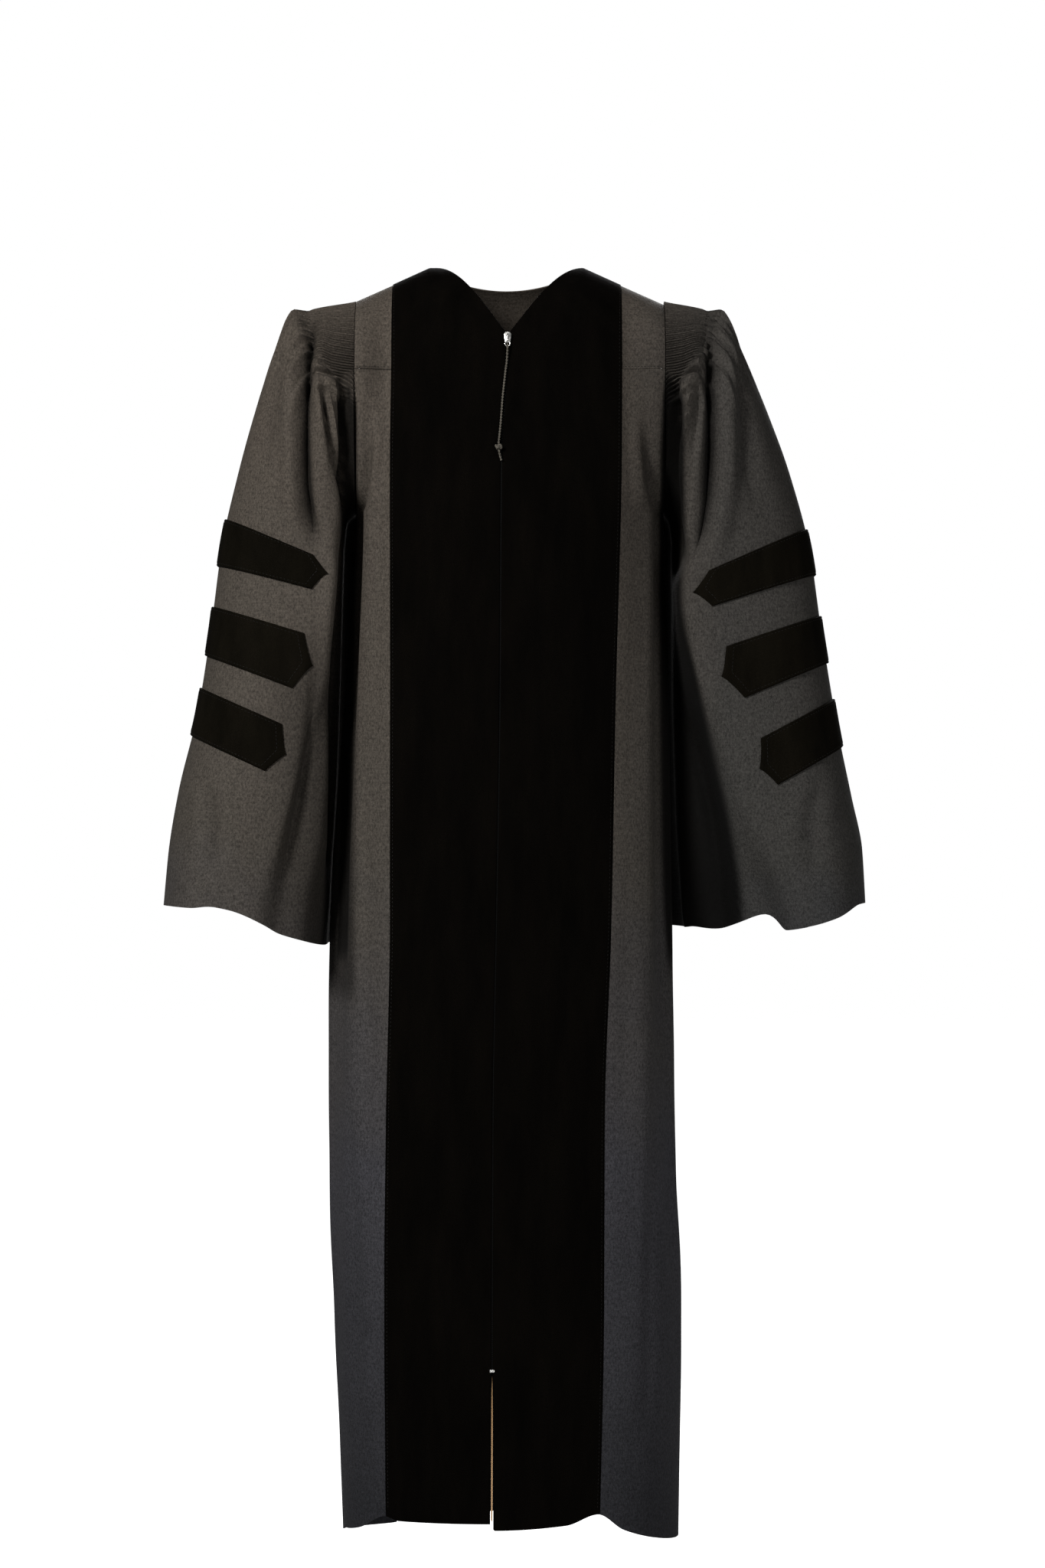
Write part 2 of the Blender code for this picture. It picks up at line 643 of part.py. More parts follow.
def add_sleeves(cloth):
    head, rest = (np.arange(steps) / steps for steps in (2 * SLEEVE_STEPS, SLEEVE_STEPS))
    for name, side in SIDES.items():
        rows = [(head, down) for down in HEAD_ROWS] + [(rest, down) for down in sleeve_downs(name)]
        faces = lattice_faces(numbered([len(u) for u, _ in rows]), around=True)
        start = side * (SLEEVES[name].rows[0, 1] + CLOTH / 2 + SEAM)
        lowest = (start, -np.inf, -np.inf) if side > 0 else -np.inf
        highest = (start, np.inf, np.inf) if side < 0 else np.inf
        wall(f"sleeve_{name}", cloth, sleeve_surface(name), rows, side, -CLOTH / 2, CLOTH / 2, faces, lowest, highest)


def add_bars(velvet):
    """Each bar lies on a quarter turn each way of the sleeve's own lattice, its middle row one step longer."""
    reach = SLEEVE_STEPS // 4
    turn = np.arange(-reach, reach + 1) / SLEEVE_STEPS
    upper, middle, lower = numbered([len(turn) - 2, len(turn), len(turn) - 2])
    faces = lattice_faces([upper, middle[1:-1], lower])
    faces += [(upper[0], middle[1], middle[0]), (middle[0], middle[1], lower[0])]
    faces += [(upper[-1], middle[-1], middle[-2]), (middle[-2], middle[-1], lower[-1])]
    low = CLOTH / 2 + BAR_LIFT
    for name, side in SIDES.items():
        for place, centre in BAR_CENTRES[name].items():
            top, mid, bottom = bar_rows(centre)
            rows = [(turn[1:-1], top), (turn, mid), (turn[1:-1], bottom)]
            wall(f"bar_{name}_{place}", velvet, sleeve_surface(name), rows, side, low, low + VELVET, faces)


def add_tape(tape):
    offsets = np.linspace(-TAPE_HALF_WIDTH, TAPE_HALF_WIDTH, 3)
    ends = [z for z in (*ARMHOLE_ROWS, *SKIRT_ROWS) if z >= ZIP_END_Z]
    rows = [(offsets, v) for v in (along_at(NECK_ANGLE), FRONT_YOKE_Z, *ends)]
    high = -CLOTH / 2 - SEAM
    wall("zip_tape", tape, tape_surface, rows, 1, high - TAPE, high)


def zip_along(z):
    """The along value of a height on the middle of the front, where the shoulder line is at 0."""
    return np.where(z > FRONT_YOKE_Z, along_at(np.arccos(1 - np.maximum(z, FRONT_YOKE_Z) / FRONT_YOKE_Z)), z)


def zip_frame(z):
    """A matrix at the zip's line: local Y goes into the gown, and Z up along the zip."""
    along = zip_along(np.array([z]))
    into = -Vector(normals(tape_surface, np.zeros(1), along, 1)[0])
    right = Vector((1, 0, 0))
    turn = Matrix((right, into, right.cross(into))).transposed().to_4x4()
    return Matrix.Translation(tape_surface(np.zeros(1), along)[0]) @ turn


def face_lift(depth):
    """How far out a piece's middle is, where its back is just clear of the velvet's face."""
    return VELVET - CLOTH / 2 + SEAM + depth / 2


def block(name, finish, size, bevel):
    source = bmesh.new()
    bmesh.ops.create_cube(source, size=1)
    bmesh.ops.scale(source, verts=source.verts, vec=size)
    bmesh.ops.bevel(source, geom=source.edges[:], offset=bevel, segments=2, profile=0.5, affect="EDGES")
    return from_bmesh(name, source, finish)


def ring(name, finish, radius, wire, steps=16, around=8):
    """A ring whose hole runs along local Y."""
    source = bmesh.new()
    loops = []
    for turn in np.arange(steps) * 2 * np.pi / steps:
        angles = np.arange(around) * 2 * np.pi / around
        section = [(radius + wire * math.cos(a), wire * math.sin(a)) for a in angles]
        loops.append([source.verts.new((r * math.cos(turn), y, r * math.sin(turn))) for r, y in section])
    for near, far in zip(loops, loops[1:] + loops[:1]):
        for k in range(around):
            source.faces.new((near[k], near[(k + 1) % around], far[(k + 1) % around], far[k]))
    return from_bmesh(name, source, finish)


def add_slider(metal):
    """The slider's body with its ring, which hangs at the lower end and stands a little out for the cord."""
    depth, length = SLIDER_SIZE[1:]
    slider = block("zip_slider", metal, SLIDER_SIZE, 0.0008)
    eye = ring("slider_ring", metal, RING_RADIUS, RING_WIRE)
    eye.location = (0, -depth * 0.2, -length / 2 - RING_RADIUS * 0.45)
    eye.hide_render = True
    eye.display_type = "WIRE"
    eye.parent = slider
    join = slider.modifiers.new("ring", "BOOLEAN")
    join.operation = "UNION"
    join.solver = "EXACT"
    join.object = eye
    slider.matrix_world = zip_frame(SLIDER_Z) @ Matrix.Translation((0, -face_lift(depth), 0))


def add_stop(metal):
    stop = block("zip_stop", metal, STOP_SIZE, 0.0004)
    stop.matrix_world = zip_frame(ZIP_END_Z) @ Matrix.Translation((0, -face_lift(STOP_SIZE[1]), 0))


def cord_point(length):
    """Points of the cord's route, which lies down the front, stand_off being its middle's height over the velvet."""
    x, z, stand_off = (CORD_ROUTE.at(column, length) for column in ("x", "z", "stand_off"))
    along = zip_along(z)
    lift = VELVET - CLOTH / 2 + stand_off
    return middle_front(x, along) + lift[..., None] * normals(middle_front, x, along, 1)


def add_cord(finish):
    """The cord, whose points lie closer where it bends round the ring, and its knot as a collar round it."""
    length = CORD_ROUTE.rows[-1, 0]
    points = cord_point(length * (np.arange(CORD_STEPS + 1) / CORD_STEPS) ** 1.3)
    curve = bpy.data.curves.new("zip_cord", "CURVE")
    curve.dimensions = "3D"
    curve.bevel_depth = CORD_RADIUS
    curve.bevel_resolution = 2
    curve.use_fill_caps = True
    spline = curve.splines.new("POLY")
    spline.points.add(len(points) - 1)
    for slot, point in zip(spline.points, points):
        slot.co = (*point, 1)
    curve.materials.append(finish)
    bpy.context.scene.collection.objects.link(bpy.data.objects.new("zip_cord", curve))
    before, middle, after = (Vector(p) for p in cord_point(KNOT_AT + np.array([-0.002, 0, 0.002])))
    knot = ring("cord_knot", finish, KNOT_RADIUS, KNOT_WIRE, steps=12)
    knot.location = middle
    knot.rotation_mode = "QUATERNION"
    knot.rotation_quaternion = (after - before).to_track_quat("Y", "Z")


def main():
    for old in list(bpy.data.objects):
        bpy.data.objects.remove(old)
    cloth = material("gown_cloth", (0.055, 0.052, 0.055), 0.85)
    velvet = material("black_velvet", (0.012, 0.010, 0.009), 0.90)
    tape = material("zip_tape", (0.015, 0.015, 0.016), 0.80)
    metal = material("zip_metal", (0.62, 0.62, 0.60), 0.30, 1.0)
    cord = material("pull_cord", (0.16, 0.15, 0.12), 0.75)
    add_fronts(cloth)
    add_velvets(velvet)
    add_yokes(cloth)
    add_back(cloth)
    add_sleeves(cloth)
    add_bars(velvet)
    add_tape(tape)
    add_slider(metal)
    add_stop(metal)
    add_cord(cord)


main()
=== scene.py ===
"""The doctoral gown dressed for a picture: cloth, velvet, thread, zip and cord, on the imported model's frame.

Metres, +Z up, front towards -Y, the wearer's left at +X. The tables and surfaces down to plain_sleeve are the
model's own, but for deeper tucks in the sleeves' inner walls. Each cloth piece is a thin shell on them, with
the creases, gathers and rolled edges of real cloth.
"""

import math

import bmesh
import bpy
import numpy as np
from mathutils import Matrix, Vector


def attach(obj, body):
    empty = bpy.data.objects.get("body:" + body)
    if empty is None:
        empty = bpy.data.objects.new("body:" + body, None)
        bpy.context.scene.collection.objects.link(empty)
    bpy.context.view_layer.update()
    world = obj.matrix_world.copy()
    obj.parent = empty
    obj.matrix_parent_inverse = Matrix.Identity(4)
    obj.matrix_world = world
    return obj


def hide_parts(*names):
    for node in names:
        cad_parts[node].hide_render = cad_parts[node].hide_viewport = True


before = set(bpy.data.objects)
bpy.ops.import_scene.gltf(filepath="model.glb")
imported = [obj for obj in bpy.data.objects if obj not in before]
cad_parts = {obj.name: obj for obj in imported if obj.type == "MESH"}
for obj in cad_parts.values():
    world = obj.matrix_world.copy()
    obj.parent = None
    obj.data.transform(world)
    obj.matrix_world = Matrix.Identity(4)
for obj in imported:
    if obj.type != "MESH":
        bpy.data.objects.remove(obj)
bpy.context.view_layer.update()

# Thicknesses, and the gap that two sewn pieces keep
SEAM = 0.0003
CLOTH = 0.0015
VELVET = 0.0024
TAPE = 0.0010

# The shoulder line, the neck and the seams that cross the body
NECK = 0.085
SHOULDER_SLOPE = 0.45
FRONT_YOKE_Z = -0.117
BACK_YOKE_Z = -0.155
UNDERARM_Z = -0.270
NECK_DIP = 0.50
HEM_Z = -1.372
HEM_RISE_FROM = -1.15
BACK_HEM_Z = -1.400

# The armhole's depth before and behind the shoulder line, and how the body's sides turn in to it, in degrees
ARM_FRONT = 0.080
ARM_BACK = 0.088
TURN_AT_YOKE = 20
TURN_AT_SIDE_SEAM = 90
SWEEP_REACH = 1.05

# The back is level in the middle: that share of its width reaches this far from the centre
BACK_LEVEL_SHARE = 0.6
BACK_LEVEL_REACH = 0.115

# The zip, whose lower end is above the hem, and the vent below it
ZIP_TOP_Z = -0.079
ZIP_END_Z = -1.205
ZIP_GAP = 0.0006
VENT_GAP = 0.0016
VENT_FADE = 0.02
VENT_FACING_END = -1.366
TAPE_HALF_WIDTH = 0.012
NECK_ANGLE = math.acos(1 - ZIP_TOP_Z / FRONT_YOKE_Z)
NECKLINE_POWER = 0.9

SIDES = {"left": 1, "right": -1}
SQUARENESS = 2.6


def smooth_slopes(keys, values):
    """Slopes that never overshoot: the harmonic mean of the rises on both sides, or 0 where they turn."""
    rise = np.diff(values) / np.diff(keys)
    before, after = rise[:-1], rise[1:]
    same = before * after > 0
    middle = np.where(same, 2 * before * after / np.where(same, before + after, 1), 0)
    return np.concatenate([rise[:1], middle, rise[-1:]])


def hermite(t, a, b, slope_a, slope_b):
    """The cubic from a to b that leaves and arrives with the given slopes, at t from 0 to 1."""
    t2, t3 = t * t, t * t * t
    ends = (2 * t3 - 3 * t2 + 1) * a + (3 * t2 - 2 * t3) * b
    return ends + (t3 - 2 * t2 + t) * slope_a + (t3 - t2) * slope_b


class Table:
    """Rows of named columns. The first column is the key, and at() reads another between rows on a curve."""

    def __init__(self, columns, *rows):
        self.columns = columns.split()
        self.rows = np.array(sorted(rows), float)

    def at(self, column, key):
        keys = self.rows[:, 0]
        values = self.rows[:, self.columns.index(column)]
        slopes = smooth_slopes(keys, values)
        i = np.clip(np.searchsorted(keys, key) - 1, 0, len(keys) - 2)
        step = keys[i + 1] - keys[i]
        share = (key - keys[i]) / step
        return hermite(share, values[i], values[i + 1], step * slopes[i], step * slopes[i + 1])


BODY = Table(
    "z half_width front back centre",
    (-0.117, 0.170, 0.092, 0.100, 0.004),
    (-0.270, 0.170, 0.122, 0.130, 0.004),
    (-0.450, 0.175, 0.133, 0.142, 0.001),
    (-0.750, 0.187, 0.141, 0.160, -0.006),
    (-1.000, 0.189, 0.147, 0.177, -0.004),
    (-1.150, 0.191, 0.150, 0.187, 0.002),
    (-1.400, 0.185, 0.154, 0.200, 0.005),
)

FRONT_EDGES = Table(
    "z velvet_right velvet_left zip",
    (-0.117, -0.126, 0.127, 0.0015),
    (-0.220, -0.127, 0.126, -0.0050),
    (-0.480, -0.126, 0.119, -0.0065),
    (-0.730, -0.126, 0.114, -0.0105),
    (-0.930, -0.130, 0.107, -0.0140),
    (-1.150, -0.132, 0.106, -0.0148),
    (-1.400, -0.130, 0.101, -0.0155),
)

FRONT_HEM = Table(
    "x z",
    (-0.190, -1.397),
    (-0.160, -1.384),
    (-0.131, -1.367),
    (-0.115, -1.371),
    (-0.018, -1.371),
    (-0.012, -1.378),
    (0.065, -1.373),
    (0.099, -1.362),
    (0.128, -1.381),
    (0.190, -1.405),
)

# Soft folds of the grey fronts. Across runs from 0 at the velvet to 1 at the side; a ridge is positive.
# Each grows in and dies away over these lengths.
FRONT_FOLD_START = 0.12
FRONT_FOLD_FADE = 0.25
FRONT_FOLDS = (
    dict(across=0.34, width=0.22, depth=0.006, top=-0.14, end=-1.10),
    dict(across=0.60, width=0.24, depth=-0.008, top=-0.14, end=-0.95),
    dict(across=0.84, width=0.14, depth=0.004, top=-0.30, end=-1.30),
)

# Folds that hang from the back yoke and deepen towards the hem. Across runs from -1 at the right side to 1.
BACK_FOLD_GROWTH = 0.8
BACK_FOLD_MIDDLE = 0.35
BACK_SIDE_FADE = 0.08
BACK_FOLDS = (
    dict(across=-0.82, width=0.15, depth=0.012, top=-0.24),
    dict(across=-0.55, width=0.15, depth=0.026, top=-0.16),
    dict(across=-0.27, width=0.14, depth=0.030, top=-0.16),
    dict(across=0.01, width=0.15, depth=0.026, top=-0.16),
    dict(across=0.28, width=0.14, depth=0.031, top=-0.16),
    dict(across=0.55, width=0.15, depth=0.027, top=-0.16),
    dict(across=0.82, width=0.15, depth=0.013, top=-0.24),
)
BACK_GATHERS = 24
BACK_GATHER_DEPTH = 0.0016
BACK_GATHER_DROP = 0.10
BACK_GATHER_FADE = 0.15

# Sleeve rings, keyed by the length down the outer line. A ring runs from its outer point, over the front, to
# its inner point beside the body and back behind; the front is deepest at front_share of the way in.
SLEEVES = {
    "right": Table(
        "down out_x out_z in_x in_z front_share front back",
        (0.000, 0.166, -0.038, 0.166, -0.270, 0.34, 0.080, 0.088),
        (0.050, 0.224, -0.050, 0.177, -0.282, 0.42, 0.093, 0.099),
        (0.106, 0.254, -0.098, 0.179, -0.292, 0.52, 0.097, 0.105),
        (0.178, 0.279, -0.164, 0.180, -0.302, 0.66, 0.096, 0.109),
        (0.249, 0.298, -0.231, 0.181, -0.318, 0.80, 0.093, 0.111),
        (0.327, 0.315, -0.304, 0.182, -0.346, 0.91, 0.092, 0.113),
        (0.423, 0.328, -0.403, 0.185, -0.452, 0.82, 0.098, 0.120),
        (0.511, 0.342, -0.492, 0.189, -0.564, 0.67, 0.108, 0.129),
        (0.600, 0.363, -0.580, 0.194, -0.650, 0.52, 0.120, 0.142),
        (0.665, 0.374, -0.647, 0.197, -0.706, 0.42, 0.127, 0.150),
        (0.723, 0.379, -0.707, 0.200, -0.750, 0.36, 0.131, 0.156),
    ),
    "left": Table(
        "down out_x out_z in_x in_z front_share front back",
        (0.000, 0.174, -0.038, 0.174, -0.270, 0.34, 0.080, 0.088),
        (0.050, 0.227, -0.050, 0.181, -0.283, 0.42, 0.093, 0.099),
        (0.106, 0.258, -0.098, 0.183, -0.294, 0.52, 0.097, 0.105),
        (0.178, 0.290, -0.164, 0.184, -0.306, 0.64, 0.096, 0.109),
        (0.249, 0.315, -0.231, 0.184, -0.330, 0.77, 0.093, 0.111),
        (0.338, 0.337, -0.315, 0.184, -0.370, 0.87, 0.092, 0.113),
        (0.436, 0.351, -0.412, 0.185, -0.473, 0.70, 0.098, 0.120),
        (0.529, 0.366, -0.504, 0.189, -0.605, 0.51, 0.108, 0.131),
        (0.610, 0.382, -0.585, 0.194, -0.680, 0.43, 0.120, 0.142),
        (0.670, 0.394, -0.645, 0.197, -0.720, 0.38, 0.127, 0.150),
        (0.731, 0.397, -0.704, 0.199, -0.731, 0.35, 0.131, 0.156),
    ),
}
# The wall behind a sleeve's inner point is tucked in towards the body, which closes the view between the two.
# The left sleeve's wall before that point is hollow too, more so towards the cuff.
INNER_WALLS = Table(
    "down hollow_right hollow_left tuck_right tuck_left",
    (0.000, 0.00, 0.00, 0.000, 0.000),
    (0.050, 0.00, 0.00, 0.016, 0.014),
    (0.106, 0.00, 0.00, 0.027, 0.023),
    (0.178, 0.00, 0.00, 0.032, 0.027),
    (0.249, 0.00, 0.00, 0.032, 0.028),
    (0.338, 0.00, 0.00, 0.031, 0.026),
    (0.436, 0.00, 0.00, 0.028, 0.024),
    (0.529, 0.00, 0.10, 0.026, 0.025),
    (0.610, 0.00, 0.40, 0.024, 0.027),
    (0.670, 0.00, 0.75, 0.024, 0.030),
    (0.731, 0.00, 0.90, 0.024, 0.031),
)
TUCK_TURN = 0.585
TUCK_WIDTH = 0.075
# How far each sleeve's open end hangs below its flat ring, by its share of the turn
CUFF_SAG = Table(
    "turn right left",
    (-0.01, 0.000, 0.000),
    (0.10, -0.004, -0.002),
    (0.19, -0.009, 0.009),
    (0.26, -0.017, 0.014),
    (0.31, -0.010, 0.015),
    (0.35, -0.004, -0.004),
    (0.40, -0.001, 0.006),
    (0.46, 0.000, 0.000),
    (0.60, -0.004, 0.000),
    (0.69, -0.010, -0.002),
    (0.76, -0.021, 0.000),
    (0.83, -0.014, 0.002),
    (0.91, -0.006, -0.002),
    (1.01, 0.000, 0.000),
)
CUFF_SAG_LENGTH = 0.13
BACK_SHARE = 0.50
SLEEVE_SQUARENESS = 2.5
SQUARE_FROM = 0.3

# Folds of the sleeves, behind and low in front. Turn is a share of the ring: 0 outer line, 0.5 at the body.
SLEEVE_FOLD_START = 0.08
SLEEVE_FOLD_FADE = 0.14
SLEEVE_FOLDS = (
    dict(turn=0.780, drift=-0.030, width=0.030, depth=-0.009, top=0.04, end=0.40),
    dict(turn=0.845, drift=-0.020, width=0.035, depth=-0.012, top=0.04, end=0.42),
    dict(turn=0.915, drift=0.010, width=0.040, depth=-0.007, top=0.05, end=0.36),
    dict(turn=0.330, drift=0.020, width=0.050, depth=-0.010, top=0.42, end=0.95),
    dict(turn=0.690, drift=0.000, width=0.060, depth=-0.014, top=0.40, end=0.95),
)

# Velvet bars round the outside of each sleeve, pointed at both ends
BAR_HEIGHT = 0.053
BAR_CENTRES = {
    "right": {"upper": 0.327, "middle": 0.423, "lower": 0.511},
    "left": {"upper": 0.338, "middle": 0.436, "lower": 0.529},
}
BAR_LIFT = 0.0006

# Steps across the surfaces
SLEEVE_STEPS = 256
FRONT_STEPS = 64
VELVET_STEPS = 34
BACK_STEPS = 300
BAR_STEPS = 160
BAR_ROWS = 24
CORD_AROUND = 16

# The slider with its ring, the stop at the zip's end, and the cord pull
SLIDER_SIZE = (0.0080, 0.0030, 0.0120)
SLIDER_Z = -0.0850
SLIDER_PLATE = 0.0009
SLIDER_ROUND = 0.00022
POST_SHAPE = (0.0009, 0.0008, 0.0012)
BRIDGE_WIRE = 0.00062
BRIDGE_RISE = 0.0015
BRIDGE_RUN = (0.0042, 0.0088)
RING_RADIUS = 0.0027
RING_WIRE = 0.0006
STOP_SIZE = (0.0050, 0.0014, 0.0030)
CORD_RADIUS = 0.0012
CORD_STEPS = 480
KNOT_AT = 0.119
KNOT_RADIUS = 0.0028
KNOT_WIRE = 0.0013
CORD_ROUTE = Table(
    "length x z stand_off",
    (0.000, 0.0017, -0.0926, 0.0017),
    (0.002, 0.0017, -0.0927, 0.0036),
    (0.005, 0.0016, -0.0950, 0.0053),
    (0.010, 0.0013, -0.0995, 0.0046),
    (0.018, 0.0008, -0.1078, 0.0024),
    (0.035, -0.0010, -0.1245, 0.0016),
    (0.065, -0.0040, -0.1540, 0.0016),
    (0.090, -0.0058, -0.1788, 0.0018),
    (0.106, -0.0072, -0.1942, 0.0028),
    (0.119, -0.0082, -0.2067, 0.0045),
    (0.127, -0.0070, -0.2145, 0.0036),
    (0.134, -0.0052, -0.2210, 0.0022),
)

# Creases that hang down the cloth: the width and depth of each, and the points (z, x) of its line
FOLD_ENDS = 0.07
CREASE_LIP = 0.28
CREASE_LIP_AT = 1.3
CREASE_SHARPNESS = 1.5


def hanging(*creases):
    return [(Table("z x", *points), width, depth) for width, depth, *points in creases]


SLEEVE_CREASES = {
    "right": hanging(
        (0.016, 0.0045, (-0.090, -0.234), (-0.1145, -0.243), (-0.175, -0.257), (-0.24, -0.268)),
        (
            0.014, 0.018,
            (-0.055, -0.210), (-0.1087, -0.2166), (-0.1868, -0.2191), (-0.2598, -0.2166), (-0.330, -0.203),
        ),
        (0.008, 0.011, (-0.1150, -0.2030), (-0.1868, -0.195), (-0.2631, -0.1843), (-0.320, -0.1790)),
        (
            0.012, 0.020,
            (-0.120, -0.1800), (-0.2158, -0.1780), (-0.330, -0.1780), (-0.450, -0.186), (-0.700, -0.190),
        ),
        (0.004, 0.004, (-0.118, -0.1930), (-0.165, -0.1880), (-0.215, -0.1850)),
        (0.003, 0.003, (-0.130, -0.1850), (-0.170, -0.1815), (-0.200, -0.1800)),
        (0.014, 0.006, (-0.380, -0.200), (-0.520, -0.212), (-0.700, -0.240)),
        (0.018, 0.005, (-0.560, -0.330), (-0.620, -0.318), (-0.690, -0.322)),
    ),
    "left": hanging(
        (
            0.018, 0.022,
            (-0.070, 0.2240), (-0.1436, 0.2241), (-0.2017, 0.2224), (-0.2598, 0.2158), (-0.350, 0.1960),
        ),
        (
            0.017, 0.0045,
            (-0.095, 0.2400), (-0.1145, 0.2449), (-0.1726, 0.259), (-0.2307, 0.2648), (-0.2947, 0.2814),
        ),
        (0.008, 0.010, (-0.115, 0.2120), (-0.1868, 0.2067), (-0.2449, 0.2009), (-0.300, 0.1960)),
        (0.014, 0.022, (-0.120, 0.1860), (-0.1868, 0.1860), (-0.260, 0.1850), (-0.360, 0.1830)),
        (0.004, 0.004, (-0.120, 0.2000), (-0.160, 0.1980), (-0.205, 0.1960)),
        (0.018, 0.004, (-0.560, 0.345), (-0.620, 0.330), (-0.690, 0.335)),
    ),
}
FRONT_CREASES = {
    "right": hanging(
        (0.010, 0.0012, (-0.16, -0.150), (-0.50, -0.152), (-0.86, -0.150)),
        (0.010, 0.0015, (-0.90, -0.168), (-1.30, -0.160)),
    ),
    "left": hanging(
        (0.010, 0.0012, (-0.16, 0.150), (-0.50, 0.146), (-0.86, 0.150)),
        (0.010, 0.0015, (-0.90, 0.160), (-1.30, 0.152)),
    ),
}
# The wearer's left sleeve falls open at its inner side: inside the edge x(z) its front wall sits back by a
# share of its depth, which grows downwards
SLEEVE_HOLLOW = Table(
    "z x",
    (-0.150, 0.1900), (-0.230, 0.1900), (-0.300, 0.1900), (-0.3635, 0.1920), (-0.461, 0.2110),
    (-0.558, 0.2330), (-0.6225, 0.2470), (-0.700, 0.2600), (-0.760, 0.2680),
)
HOLLOW_SHARE = 0.58
HOLLOW_SLOPE = 0.022
HOLLOW_TOP = -0.20
HOLLOW_GROWTH = 0.25
# Painted shade where the cloth lies in the deep folds between body and sleeves: from x = near to far at each z
DEEP_FOLDS = {
    "right": Table(
        "z near far",
        (-0.135, 0.172, 0.175), (-0.165, 0.164, 0.181), (-0.360, 0.167, 0.182), (-0.550, 0.168, 0.184),
        (-0.720, 0.171, 0.187), (-0.800, 0.173, 0.190),
    ),
    "left": Table(
        "z near far",
        (-0.125, 0.173, 0.182), (-0.160, 0.170, 0.194), (-0.280, 0.169, 0.196), (-0.3635, 0.169, 0.192),
        (-0.461, 0.169, 0.210), (-0.558, 0.170, 0.232), (-0.6225, 0.171, 0.246), (-0.700, 0.173, 0.258),
        (-0.760, 0.177, 0.262), (-0.800, 0.180, 0.266),
    ),
}
DEEP_FOLD_EDGE = {"right": 0.006, "left": 0.008}
DEEP_FOLD_PAINTED_SHADE = {"right": 0.92, "left": 0.95}
# How far above its table a deep fold's shade ends, its fades at the lower and upper end, and its reach back
DEEP_FOLD_RISE = 0.02
DEEP_FOLD_FADES = (0.05, 0.03)
DEEP_FOLD_BACK = 0.10
# Softer painted shades in front, beside the right sleeve's deep fold and on the left of the chest: each from
# one place to another across and upright, with the lengths over which it comes in and goes out
SOFT_PAINTED_SHADES = (
    dict(tone=0.58, across=(-0.285, -0.160, 0.09, 0.01), upright=(-0.82, -0.36, 0.03, 0.14)),
    dict(tone=0.34, across=(0.10, 0.19, 0.03, 0.01), upright=(-0.62, -0.02, 0.40, 0.10)),
)
# A dark line along the front yoke seam, carried in the same attribute as the painted shade
YOKE_SEAM_TONE = 0.45
YOKE_SEAM_WIDTH = 0.0024
YOKE_SEAM_REACH = 0.1705
# Short cross puckers of the fronts: x, z, slope, width and height
PUCKER_REACH = 0.030
PUCKERS = {
    "right": ((-0.150, -0.795, 0.9, 0.006, 0.0012), (-0.146, -0.820, 0.8, 0.006, -0.0012)),
    "left": ((0.150, -0.830, -0.5, 0.006, -0.0012), (0.128, -1.137, 0.2, 0.005, -0.0010)),
}
RIPPLE = 0.0006

# Half the gap between the front and back pieces at the shoulder line
SHOULDER_GAP = 0.00002

# The back's fine gathers under its yoke, by their number over its whole width, and how its folds sway
FINE_GATHERS = 70
FINE_GATHER_DEPTH = 0.0010
FINE_GATHER_LENGTH = 0.030
BACK_FOLD_SWAY = 0.008

# The sleeve heads' gathers lean off the seam, and end at a length down that falls with the share of the ring
# from its outer line. Past them are waves of puckers, of (count, height, start, fade), in a low puff.
GATHER_WIDTH = 0.047
GATHER_LEAN = 1.28
GATHER_LAST = 0.305
GATHER_LAST_FADE = 0.02
GATHER_END_FADE = 0.006
GATHER_ENDS = Table(
    "share end",
    (-0.01, 0.047), (0.20, 0.047), (0.235, 0.043), (0.259, 0.032), (0.293, 0.011), (0.31, 0.0), (0.51, 0.0),
)
FLUTE_COUNT = 180
FLUTE_HEIGHT = 0.0016
PUCKER_WAVES = ((64, 0.0026, -0.004, 0.045), (27, 0.0036, 0.004, 0.110))
PUFF = 0.0050
PUFF_RISE = 0.009
PUFF_FADE = 0.16

# Painted shade: how much darker the cloth is in the bottoms of full creases this deep, and between gathers
FOLD_PAINTED_SHADE = 0.80
FOLD_FULL = 0.012
GATHER_PAINTED_SHADE = 0.60
LIP_PAINTED_SHADE = 0.6

# The velvet fronts' width, and the height at which their rolled edges start
VELVET_WIDTH = 0.13
VELVET_EDGE = 0.0008

# The bars' shape in turns of the ring, a turn's length round the arm, and their sewing
BAR_EDGE = 0.0007
BAR_TURN = 11.4 / 48
BAR_POINT = 0.6 / 48
BAR_GIRTH = 0.88
BAR_ROLL = 0.0020
BAR_GROOVE = 0.0006
BAR_GROOVE_WIDTH = 0.0012
BAR_STITCH_IN = 0.0030
BAR_STITCH_END = 0.965

# Stitches: the pitch and the length of each, and how far inside the velvet's edge they run, by its width
EDGE_STITCH_IN = 0.0032 / 0.125
BAR_STITCH = (0.0042, 0.0042 * 0.72)
EDGE_STITCH = (0.0042, 0.0029)
YOKE_STITCH = (0.0036, 0.0025)

# The zip's teeth and the twist of its cord
TOOTH_PITCH = 0.0020
TOOTH_WIDTH = 0.0034
TOOTH_DEPTH = 0.0012
TOOTH_LIFT = -0.0002
TOOTH_HALF_SHARE = 0.36
TOOTH_LEAN = 0.30
TOOTH_NARROWING = 0.55
CORD_TWIST = 0.0065
